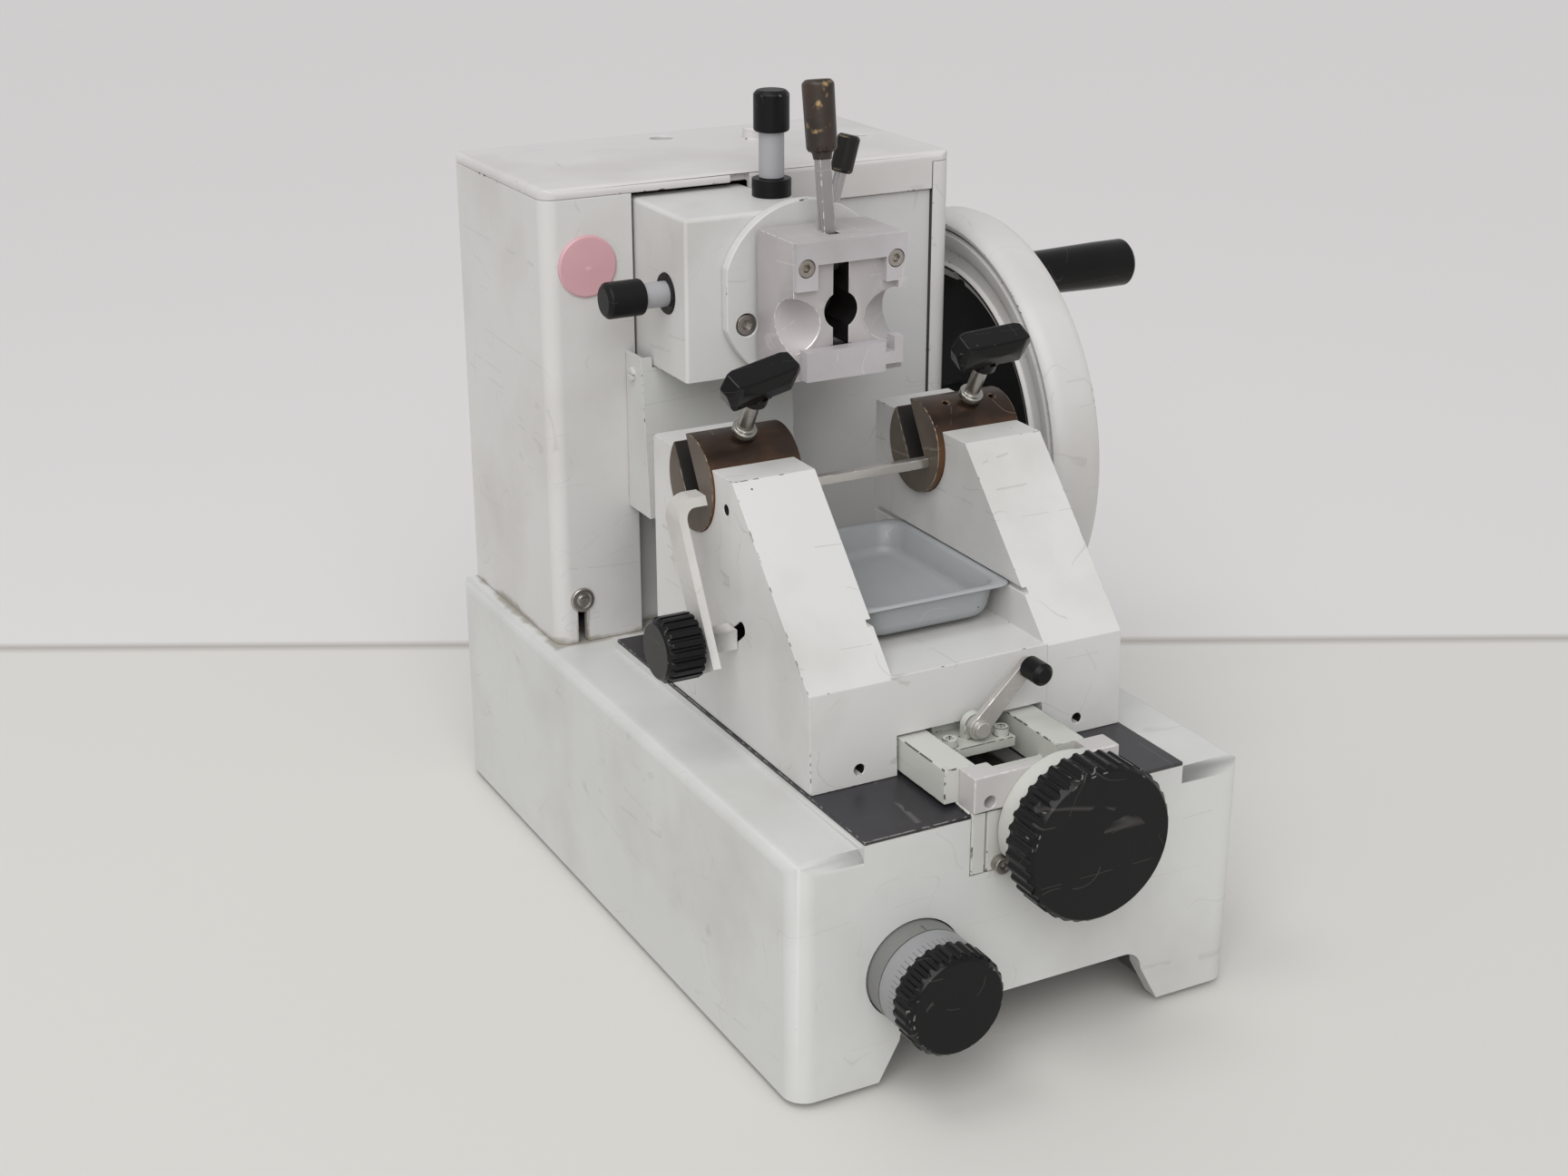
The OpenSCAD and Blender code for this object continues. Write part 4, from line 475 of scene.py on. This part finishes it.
# ---- Way plate: a ground cast plate let into the top of the base. It is blued nearly black
# and rubbed grey by the holder; fine wax dust lies on it.
way_dark = tone(52, 50, 54)
blued = aged("blued_way", way_dark, 0.38, metal=0.25, dirt=0.35, dirt_colour=tone(104, 101, 100), pits=0.2,
             wear=0.6, bare_colour=tone(150, 146, 142), bare_roughness=0.35, bare_metal=0.6, scratches=0.5,
             grain=0.5, relief=0.08)
ease("way_plate", [blued], 0.0003)

# ---- Tower: a cover folded and welded from 2 mm sheet, a lid with rolled edges, and the two
# plates in the front opening, all sprayed with the same grey enamel. The cover is dark inside,
# and that dark primer also serves as painted shade in the gaps round the head; its foot is
# darkened with dirt and painted shade.
tower_tone = tone(206, 204, 202)
tower_inside_shade_tone = tone(70, 69, 68)
stain_x, stain_half, stain_top, stain_back, stain_spread = -0.0813, 0.0024, 0.117, 0.066, 0.0008


def tower_foot_shade_and_stain(tree, colour):
    """Dirt and painted shade at the foot, and a stain below the screw."""
    work = partial(calc, tree)
    x, y, z = axes(tree)
    foot = work("SUBTRACT", z, seam_level)
    beside = work("SUBTRACT", work("ABSOLUTE", work("SUBTRACT", x, stain_x)), stain_half)
    run = work("MAXIMUM", work("SUBTRACT", z, stain_top), beside)
    run = work("MAXIMUM", run, work("MULTIPLY", work("SUBTRACT", y, stain_back), 10.0))
    run = work("MAXIMUM", run, 0.0)
    for distance, spread, amount in ((foot, foot_spread, 0.6), (run, stain_spread, 0.5)):
        colour = apply_group(tree, seam_dirt_and_shade, colour=colour, dirt_colour=grime_tone, distance=distance,
                             spread=spread, amount=amount)["Colour"]
    return colour


tower_enamel = enamelled("tower_enamel", tower_tone, over=tower_foot_shade_and_stain, wear=0.32, pits=0.08)
lid_enamel = enamelled("lid_enamel", tone(203, 200, 199), wear=0.35, pits=0.07)
inside_primer_and_shade = aged("inside_primer_and_shade", tower_inside_shade_tone, 0.7, dirt=0.4, grain=0.6)
cover_low, cover_high = (Vector(corner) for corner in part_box("tower_cover"))
cover_middle = (cover_low + cover_high) / 2
cover_skin, peg_width = 0.0012, 0.015


def faces_inwards(middle, normal):
    """1 for a face of the cover that looks at its middle, 0 for one that looks out."""
    depth = min(middle.x - cover_low.x, cover_high.x - middle.x,
                middle.y - cover_low.y, cover_high.y - middle.y)
    towards = Vector((cover_middle.x - middle.x, cover_middle.y - middle.y, 0)).dot(normal)
    return 1 if depth > cover_skin and towards > 0 else 0


# The inner faces of the cover take the dark primer, which also stands as painted shade in the gaps
ease("tower_cover", [tower_enamel, inside_primer_and_shade], 0.0004, pick_face=faces_inwards)
ease("tower_lid", [lid_enamel, aged("peg_grey", tone(140, 138, 134), 0.45, dirt=0.3)], 0.0006,
     pick=lambda low, high: 1 if high.x - low.x < peg_width else 0)
ease("front_panel", [enamelled("panel_enamel", tone(198, 197, 197), wear=0.3, pits=0.06)], 0.0003)
ease("lower_shield", [tower_enamel], 0.0003)

# ---- Badge: a plain round enamelled plate, pressed into the front of the tower. It has
# faded to pink and its face is a little pitted.
badge_enamel = aged("badge_enamel", tone(205, 160, 166), 0.35, dirt=0.5, dirt_colour=tone(176, 140, 140), pits=0.2)
paint(badge_enamel, "blank_badge")

# ---- Small screws: turned steel heads, plated and slightly rusty in their corners.
screw_steel = aged("screw_steel", tone(168, 162, 156), 0.32, metal=0.9, dirt=0.9, dirt_colour=tone(86, 66, 48),
                   wear=0.5, bare_colour=tone(200, 196, 190), bare_roughness=0.3, bare_metal=1.0, grain=0.3)
for node in ("cover_screws", "bracket_screws", "flange_screws", "jaw_screws"):
    ease(node, [screw_steel], 0.00025)

# ---- Inner works: the column and the slide are cast iron in dark grey primer, the bushes and
# the sliding block bronze, and the rods, crank and fork ground steel with a film of oil.
cast_iron = aged("cast_iron", tone(92, 92, 92), 0.6, metal=0.1, dirt=0.7, dirt_colour=tone(52, 46, 38), grain=1.0,
                 wear=0.6, bare_colour=tone(150, 146, 140), bare_metal=0.7, relief=0.3)
bronze = aged("bronze", tone(168, 128, 78), 0.35, metal=0.95, dirt=0.7, dirt_colour=tone(92, 66, 38), scratches=0.4)
ground_steel = aged("ground_steel", tone(172, 169, 164), 0.24, metal=0.95, dirt=0.5, dirt_colour=tone(104, 90, 70),
                    scratches=0.5)
paint(cast_iron, "inner_column", "carriage")
paint(bronze, "shaft_bush", "die_block", "feed_nut")
paint(ground_steel, "guide_rods", "crankshaft", "yoke", "feed_quill", "feed_spindle", "ratchet_wheel", "feed_pawl",
      "gimbal_ring", "tilt_block")
paint(aged("index_grey", tone(132, 132, 130), 0.45, metal=0.3, dirt=0.4), "index_ring")

# ---- Handwheel: cast, turned true on its rim and sprayed grey. The web that faces the tower
# is left in black primer. The handle turns on a steel axle and is black phenolic, polished
# by hands.
wheel_axis = Vector((0, 0.1005, 0.159))
rim_inside, web_edge, turned_away = 0.0745, 0.002, 0.2


def faces_tower(middle, normal):
    """1 for the wheel's web and hollow on the tower side, 0 for the painted rim and outside."""
    from_axis = math.hypot(middle.y - wheel_axis.y, middle.z - wheel_axis.z)
    if normal.x < -turned_away and from_axis < rim_inside:
        return 1
    return 1 if normal.x < turned_away and from_axis < rim_inside - web_edge else 0


wheel_enamel = enamelled("wheel_enamel", tone(201, 199, 197), wear=0.35, pits=0.06)
wheel_primer = aged("wheel_primer", tone(26, 25, 26), 0.62, dirt=0.6, dirt_colour=tone(48, 46, 44), pits=0.4,
                    grain=1.0, relief=0.3, shine=0.25)
phenolic = aged("phenolic", tone(13, 12, 13), 0.22, dirt=0.2, dirt_colour=tone(30, 28, 26), pits=0.12, wear=0.2,
                bare_colour=tone(84, 80, 76), bare_roughness=0.5, scratches=0.4, grain=0.15, relief=0.06, shine=0.22)
ease("handwheel", [wheel_enamel, wheel_primer], 0.0004, pick_face=faces_tower)
ease("handle_axle", [ground_steel], 0.0003)
ease("handle_grip", [phenolic], 0.0004)

# ---- Slide cover: two bent sheets of enamelled steel that hang from the slide under the
# head and close the opening as it moves.
shutter_screw = 0.012
ease("slide_shutter", [enamelled("shutter_enamel", tone(200, 200, 197), wear=0.4, pits=0.1), screw_steel], 0.0003,
     pick=lambda low, high: 1 if max(high.z - low.z, high.y - low.y) < shutter_screw else 0)

# ---- Head: a machined casting in grey enamel, worn at its edges, with black plastic bushes
# where the two orientation knobs go in.
head_enamel = enamelled("head_enamel", tone(203, 202, 200), wear=0.35, pits=0.1, dirt=0.3)
black_plastic = aged("black_plastic", tone(14, 13, 14), 0.4, dirt=0.25, dirt_colour=tone(34, 32, 31), pits=0.1,
                     wear=0.25, bare_colour=tone(96, 92, 88), scratches=0.3, grain=0.3, shine=0.22)
ease("head_block", [head_enamel], 0.0006)
ease("knob_bushes", [black_plastic], 0.0004)

# ---- Front flange: an enamelled plate held to the head by two cap screws, handled more
# than the head and a little dirtier.
ease("front_flange", [enamelled("flange_enamel", tone(203, 202, 200), wear=0.3, pits=0.1, dirt=0.4)], 0.0006)

# ---- Orientation knobs: a grey plastic stem on a fine screw, with a black cap pressed on.
stem_plastic = aged("stem_plastic", tone(160, 160, 163), 0.38, dirt=0.3, dirt_colour=tone(128, 126, 122), grain=0.2)
cap_length = 0.0170
top_cap_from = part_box("top_knob")[1][2] - cap_length
left_cap_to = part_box("left_knob")[0][0] + cap_length
ease("top_knob", [stem_plastic, black_plastic], 0.0005, pick_face=lambda middle, normal: int(middle.z > top_cap_from))
ease("left_knob", [stem_plastic, black_plastic], 0.0005, pick_face=lambda middle, normal: int(middle.x < left_cap_to))

# ---- Specimen clamp: milled from aluminium and lightly anodised, with a shallow hollow for a
# finger across each front corner. The edges are battered back to bright metal; the walls of
# the slot and the lever's pocket are painted near-black as shade.
anodised = tone(178, 172, 173)
bright = tone(226, 222, 218)
clamp_satin = aged("clamp_satin", anodised, 0.42, metal=0.12, dirt=0.45, dirt_colour=tone(140, 130, 124), pits=0.12,
                   wear=0.75, bare_colour=bright, bare_roughness=0.3, bare_metal=0.7, scratches=0.5,
                   grain=0.3, relief=0.1)
jaw_satin = aged("jaw_satin", tone(188, 183, 186), 0.4, metal=0.15, dirt=0.6, dirt_colour=tone(132, 122, 116), pits=0.5,
                 wear=1.0, bare_colour=bright, bare_roughness=0.32, bare_metal=0.7, scratches=0.9,
                 grain=0.6, relief=0.2)
clamp_low, clamp_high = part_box("clamp_block")
clamp_slot_shade = aged("clamp_slot_shade", tone(26, 24, 24), 0.5, metal=0.3, dirt=0.8, dirt_colour=tone(70, 62, 56))
slot_reach, slot_aside, skin = 0.0125, 0.002, 0.0006


def in_slot(middle, normal):
    """1 for the walls of the specimen slot and the lever's pocket, painted dark as shade, 0 for the rest."""
    inside = min(min(middle[axis] - clamp_low[axis], clamp_high[axis] - middle[axis]) for axis in range(3))
    from_slot = abs(middle.x - (clamp_low[0] + clamp_high[0]) / 2 + slot_aside)
    return 1 if inside > skin and from_slot < slot_reach else 0


def prism(ring, reach):
    """A closed solid: a ring of points in millimetres and the same ring moved by the reach."""
    tool = bmesh.new()
    near = [tool.verts.new(Vector(point) / 1000) for point in ring]
    far = [tool.verts.new((Vector(point) + Vector(reach)) / 1000) for point in ring]
    for place in range(len(ring)):
        after = (place + 1) % len(ring)
        tool.faces.new((near[place], near[after], far[after], far[place]))
    tool.faces.new(list(reversed(near)))
    tool.faces.new(far)
    bmesh.ops.recalc_face_normals(tool, faces=tool.faces)
    return as_object("clamp_tool", tool)


def slab(x, y, z):
    """A box between pairs of coordinates in millimetres."""
    corners = ((x[0], y[0]), (x[1], y[0]), (x[1], y[1]), (x[0], y[1]))
    return prism([(*corner, z[0]) for corner in corners], (0, 0, z[1] - z[0]))


def bar(start, reach, radius, sides=72):
    """A round bar in millimetres from a start point."""
    along = Vector(reach).normalized()
    across = along.cross(Vector((0, 0, 1))).normalized()
    over = across.cross(along)
    return prism([Vector(start) + radius * (math.cos(2 * math.pi * turn / sides) * across
                                            + math.sin(2 * math.pi * turn / sides) * over)
                  for turn in range(sides)], reach)


def hollow(middle, outward, radius=11.5, half=40):
    """A long bar lying level against the hollow's deepest point, to leave a shallow trough there."""
    outward = Vector(outward).normalized()
    along = Vector((0, 0, 1)).cross(outward)
    return bar(Vector(middle) + radius * outward - half * along, 2 * half * along, radius)


# The block, in millimetres: its faces, then the slot and bore for the specimen, the lower
# jaw's guide, the lever's pocket and pin, the two screws and the hollows
front, back, bottom, top = -24.5, 6.1, 233, 289
past = 1
slot_left, slot_right, slot_depth, slot_foot, slot_head = -6, 1, 20, 12, 9
bore_x, bore_z, bore_depth, bore_radius = -2.5, 260, 22, 7.5
guide_side, guide_depth = 1.6, 12.6
pocket_x, pocket_y, pocket_floor = (-3.65, 1.65), (-17, -6), 272.5
pin_start, pin_length, pin_radius = (-9, -11.5, 278), 15, 2
screw_x, screw_z, screw_bores = (-19.4, 21.0), 279, ((1.5, 3.8), (11, 1.8))
clamp_blank = slab((-24, 26), (front, back), (bottom, top))
clamp_cuts = [slab((slot_left, slot_right), (front - past, front + slot_depth), (bottom + slot_foot, top - slot_head)),
              bar((bore_x, front - past, bore_z), (0, bore_depth + past, 0), bore_radius),
              slab((slot_left - guide_side, slot_right + guide_side), (front - past, front + guide_depth),
                   (bottom - past, bottom + slot_foot + past)),
              slab(pocket_x, pocket_y, (pocket_floor, top + past)),
              hollow((-18, -16.5, 255.5), (-0.8, -0.6, 0)), hollow((17, -16.5, 255.5), (0.664, -0.747, 0))]
clamp_cuts += [bar((x, front - past, screw_z), (0, depth + past, 0), radius)
               for x in screw_x for depth, radius in screw_bores]
clamp_pin = bar(pin_start, (pin_length, 0, 0), pin_radius)
for solid in clamp_cuts + [clamp_pin]:
    step = clamp_blank.modifiers.new("milled", "BOOLEAN")
    step.operation = "UNION" if solid is clamp_pin else "DIFFERENCE"
    step.solver = "EXACT"
    step.object = solid
clamp_shape = bpy.data.meshes.new_from_object(clamp_blank.evaluated_get(bpy.context.evaluated_depsgraph_get()))
for solid in [clamp_blank, clamp_pin] + clamp_cuts:
    bpy.data.objects.remove(solid)
ease("clamp_block", [clamp_satin, clamp_slot_shade], 0.0005, pick_face=in_slot, shape=clamp_shape)
paint(jaw_satin, "upper_jaw")
ease("lower_jaw", [jaw_satin], 0.0006)

# ---- Clamp levers: a flat bar of nickelled steel that opens the jaw and a bright rod that
# locks the ball. Their black grips are worn through to brown and cream filler.
lever_steel = aged("lever_steel", tone(176, 171, 172), 0.26, metal=0.85, dirt=0.6, dirt_colour=tone(110, 102, 100),
                   wear=0.6, bare_colour=bright, bare_roughness=0.25, bare_metal=0.9, scratches=0.6)
worn_grip = aged("worn_grip", tone(26, 24, 22), 0.4, dirt=1.2, dirt_colour=tone(60, 56, 48), pits=1.0, wear=0.5,
                 bare_colour=tone(104, 92, 72), bare_roughness=0.6, scratches=0.3, grain=1.0, relief=0.3, shine=0.3)


def filler_shows(tree, colour):
    """Cream filler where the lacquer has gone in large flakes."""
    spots = calc(tree, "SUBTRACT", cloud(tree, 150, 5, turn=(0.4, 0.1, 0.7)), 0.57)
    flakes = calc(tree, "MULTIPLY", spots, 9.0, clamp=True)
    return mixed(tree, flakes, colour, tone(176, 146, 100))


flaked = aged("flaked_grip", tone(34, 26, 22), 0.35, dirt=1.2, dirt_colour=tone(84, 60, 42), pits=0.8, wear=0.3,
              bare_colour=tone(120, 92, 62), grain=1.0, relief=0.3, over=filler_shows)
ease("jaw_lever", [lever_steel], 0.0004)
ease("jaw_grip", [flaked], 0.0006)
ease("lock_lever", [lever_steel], 0.0003)
ease("lock_grip", [worn_grip], 0.0006)

# ---- Knife holder: a heavy casting in grey enamel. Its edges are chipped, and the metal
# shows where trays and knives have knocked it; the small holes are painted dark inside as shade.
holder_enamel = enamelled("holder_enamel", tone(206, 205, 203), wear=0.42, pits=0.3, dirt=0.3, scratches=0.4,
                          bare_colour=tone(118, 112, 104))
hole_shade = aged("hole_shade", tone(20, 19, 18), 0.6, dirt=0.5, dirt_colour=tone(60, 54, 46))
holder_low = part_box("knife_holder")[0]
front_holes, hole_reach, apron_foot, cheek_depth = (-0.050, 0.0484), 0.0031, 0.012, 0.015
side_hole, stud_slot, slot_half = (-0.0575, 0.1974), (-0.0625, 0.1474), 0.014


def in_hole(middle, normal):
    """1 for the walls of the small holes and of the stud's slot, which are painted dark as shade."""
    if middle.z < holder_low[2] + apron_foot and middle.y > holder_low[1] + skin and abs(normal.z) < 0.9:
        return 1 if any(abs(middle.x - x) < hole_reach for x in front_holes) and abs(normal.y) < 0.9 else 0
    beside = holder_low[0] + skin < middle.x < holder_low[0] + cheek_depth and abs(normal.x) < 0.9
    at_hole = max(abs(middle.y - side_hole[0]), abs(middle.z - side_hole[1])) < hole_reach
    at_slot = max(abs(middle.y - stud_slot[0]), abs(middle.z - stud_slot[1])) < slot_half
    return 1 if beside and (at_hole or at_slot) else 0


ease("knife_holder", [holder_enamel, hole_shade], 0.0009, pick_face=in_hole)

# ---- Clamping lever of the holder: a bar of nickelled steel on an enamelled plate under the
# apron, with a black button and two cap screws.
plate_screw = 0.009
plate_enamel = enamelled("plate_enamel", tone(190, 192, 186), wear=0.6, pits=0.3, dirt=0.9,
                         dirt_colour=tone(150, 152, 136))
ease("lever_plate", [plate_enamel, screw_steel], 0.0003,
     pick=lambda low, high: 1 if max(high.x - low.x, high.y - low.y) < plate_screw else 0)
lever_satin = aged("lever_satin", tone(186, 182, 178), 0.34, metal=0.5, dirt=0.4, dirt_colour=tone(130, 124, 118),
                   wear=0.5, bare_colour=bright, bare_metal=0.8, bare_roughness=0.3, scratches=0.6)
ease("clamp_lever", [lever_satin], 0.0003)
paint(black_plastic, "lever_button")

# ---- Waste tray: pressed from sheet with a rolled rim that runs in the holder's grooves, and
# sprayed blue-grey, with scraped marks along its floor.
tray_enamel = aged("tray_enamel", tone(160, 162, 164), 0.36, dirt=0.4, dirt_colour=tone(122, 124, 124), pits=0.2,
                   scratches=0.7, bare_colour=tone(190, 190, 188), bare_metal=0.3, grain=0.3)
tray_middle = -0.001
corner_steps = 8


def tray_ring(half, front, back, level, corner):
    """One rounded rectangle of the tray, anticlockwise, as points."""
    points = []
    for turn, (x, y) in enumerate(((half, back), (-half, back), (-half, front), (half, front))):
        middle = Vector((tray_middle + x - math.copysign(corner, x), y + (corner if y == front else -corner), level))
        for step in range(corner_steps + 1):
            angle = math.radians(90) * (turn + step / corner_steps)
            points.append(middle + corner * Vector((math.cos(angle), math.sin(angle), 0)))
    return points


# From the outside of the floor up over the rim and down to its inside: half the width, the
# front, the back, the level and the corner's radius
tray_rings = [tray_ring(*ring) for ring in (
    (0.0262, -0.0906, -0.0184, 0.1486, 0.008), (0.0284, -0.0928, -0.0162, 0.1490, 0.0095),
    (0.0298, -0.0942, -0.0148, 0.1504, 0.0105), (0.0306, -0.0950, -0.0140, 0.1530, 0.0105),
    (0.0318, -0.0960, -0.0130, 0.1606, 0.0100), (0.0326, -0.0966, -0.0126, 0.1615, 0.0095),
    (0.0352, -0.0986, -0.0112, 0.1616, 0.0070), (0.0357, -0.0991, -0.0107, 0.1622, 0.0068),
    (0.0352, -0.0986, -0.0112, 0.1628, 0.0070), (0.0320, -0.0962, -0.0130, 0.1628, 0.0092),
    (0.0308, -0.0950, -0.0140, 0.1618, 0.0094), (0.0295, -0.0938, -0.0152, 0.1536, 0.0096),
    (0.0288, -0.0931, -0.0159, 0.1514, 0.0094), (0.0272, -0.0915, -0.0175, 0.1502, 0.0085),
    (0.0250, -0.0893, -0.0197, 0.1500, 0.0070))]
tray_edit = bmesh.new()
tray_loops = [[tray_edit.verts.new(point) for point in ring] for ring in tray_rings]
for lower, upper in zip(tray_loops, tray_loops[1:]):
    for place in range(len(lower)):
        after = (place + 1) % len(lower)
        tray_edit.faces.new((lower[place], lower[after], upper[after], upper[place])).smooth = True
tray_edit.faces.new(list(reversed(tray_loops[0])))
tray_edit.faces.new(tray_loops[-1])
tray = as_object("pressed_tray", tray_edit)
tray.data.materials.append(tray_enamel)
tray.data.set_sharp_from_angle(angle=math.radians(50))
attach(tray, body_of_node["waste_tray"])
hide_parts("waste_tray")

# ---- Knife clamps: turned steel bars with a slot, browned by heat and oil. The tops are
# nearly black, the low fronts orange-brown, and the end faces grey-brown. The walls of the
# slot are painted darker as shade.
knife_axis_y, knife_axis_z, slot_bottom = -0.0285, 0.200, 0.0175
brown_rise, brown_fade, brown_tone = 0.013, 90.0, tone(126, 92, 64)


def browned(tree, colour):
    """Lighter and redder brown below a level a little above the axis, with a ragged border."""
    work = partial(calc, tree)
    low = work("MULTIPLY", work("SUBTRACT", knife_axis_z + brown_rise, axes(tree)[2]), brown_fade, clamp=True)
    uneven = work("SUBTRACT", cloud(tree, 75, 4), 0.5)
    return mixed(tree, work("MULTIPLY", work("ADD", low, uneven), 0.8, clamp=True), colour, brown_tone)


def end_face(middle, normal):
    """1 for a bar's flat end, 2 for a wall of its slot, painted dark as shade, 0 for its round side."""
    across = math.hypot(middle.y - knife_axis_y, middle.z - knife_axis_z)
    return 1 if abs(normal.x) > 0.9 else 2 if across < slot_bottom else 0


patina = aged("patina", tone(64, 50, 42), 0.3, metal=0.7, dirt=0.8, dirt_colour=tone(38, 30, 28), pits=0.4, wear=0.7,
              bare_colour=tone(150, 128, 108), bare_roughness=0.3, bare_metal=0.8, scratches=0.7, over=browned)
patina_end = aged("patina_end", tone(112, 102, 92), 0.42, metal=0.5, dirt=0.9, dirt_colour=tone(70, 58, 48), pits=0.6,
                  wear=0.5, bare_colour=tone(150, 140, 128), scratches=0.6)
slot_shade = aged("slot_shade", tone(44, 40, 38), 0.55, metal=0.4, dirt=0.6, dirt_colour=tone(24, 22, 20))
ease("knife_jaws", [patina, patina_end, slot_shade], 0.0004, pick_face=end_face)
rest_bar_steel = aged("rest_bar_steel", tone(196, 192, 188), 0.22, metal=0.85, dirt=0.6,
                      dirt_colour=tone(120, 104, 88), wear=0.5, bare_colour=bright, bare_metal=0.9,
                      bare_roughness=0.2, scratches=0.9)
ease("rest_bar", [rest_bar_steel], 0.0004)

# ---- Wing screws: glossy black phenolic wings moulded on steel studs that press on the
# knife clamps.
stud_width = 0.02
for node in ("left_wing_screw", "right_wing_screw"):
    ease(node, [ground_steel, phenolic], 0.0013, steps=3,
         pick=lambda low, high: 1 if high.x - low.x > stud_width else 0)

# ---- Tilt arm: a strip of steel bent to an angle and enamelled, with a black fluted knob on
# a turned collar that clamps it to the left cheek.
fluted_plastic = aged("fluted_plastic", tone(13, 12, 14), 0.25, dirt=0.2, dirt_colour=tone(30, 29, 29), pits=0.25,
                      wear=0.45, bare_colour=tone(110, 106, 102), bare_roughness=0.4, scratches=0.4, grain=0.2,
                      shine=0.25)
ease("tilt_arm", [enamelled("arm_enamel", tone(206, 204, 201), wear=0.4, pits=0.3, dirt=0.4)], 0.0004)
ease("tilt_knob", [ground_steel, fluted_plastic], 0.0003,
     pick=lambda low, high: 1 if high.z - low.z > stud_width else 0)

# ---- Coarse feed: an enamelled bracket and a satin crosspiece carry the feed screw in the
# front of the base; the large black fluted knob on it is moulded plastic, glossy on its ribs.
feed_screw_width = 0.03
bracket_enamel = enamelled("bracket_enamel", tone(198, 198, 192), wear=0.55, pits=0.2, dirt=0.7,
                           dirt_colour=tone(160, 162, 150))
ease("feed_bracket", [bracket_enamel], 0.0005)
cross_satin = aged("cross_satin", tone(200, 197, 195), 0.4, metal=0.15, dirt=0.5, dirt_colour=tone(146, 138, 132),
                   wear=0.6, bare_colour=bright, bare_metal=0.6, scratches=0.4, pits=0.1)
ease("feed_crosspiece", [cross_satin], 0.0006)
ease("feed_bearing", [bracket_enamel], 0.0004)
ease("feed_knob", [ground_steel, fluted_plastic], 0.0003,
     pick=lambda low, high: 1 if high.z - low.z > feed_screw_width else 0)

# ---- Thickness dial: a turned ring in satin grey with fine marks cut round its rim, and a
# black fluted knob in front of it.
dial_low, dial_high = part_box("thickness_dial")
dial_x, dial_z, dial_face = (dial_low[0] + dial_high[0]) / 2, 0.048, dial_low[1]
dial_marks, mark_share, mark_depth = 60, 0.09, 0.004


def dial_lines(tree, colour):
    """Short dark lines at even angles round the front of the ring's rim."""
    work = partial(calc, tree)
    x, y, z = axes(tree)
    angle = work("ARCTAN2", work("SUBTRACT", z, dial_z), work("SUBTRACT", x, dial_x))
    line = work("LESS_THAN", work("FRACT", work("MULTIPLY", angle, dial_marks / math.tau)), mark_share)
    reach = work("LESS_THAN", work("SUBTRACT", y, dial_face), mark_depth)
    return mixed(tree, work("MULTIPLY", line, reach), colour, tone(60, 58, 58))


dial_grey = aged("dial_grey", tone(158, 158, 160), 0.36, metal=0.3, dirt=0.35, dirt_colour=tone(120, 118, 116),
                 wear=0.4, bare_colour=bright, bare_metal=0.6, over=dial_lines)
ease("thickness_dial", [dial_grey], 0.0004)
ease("thickness_knob", [fluted_plastic], 0.0004)
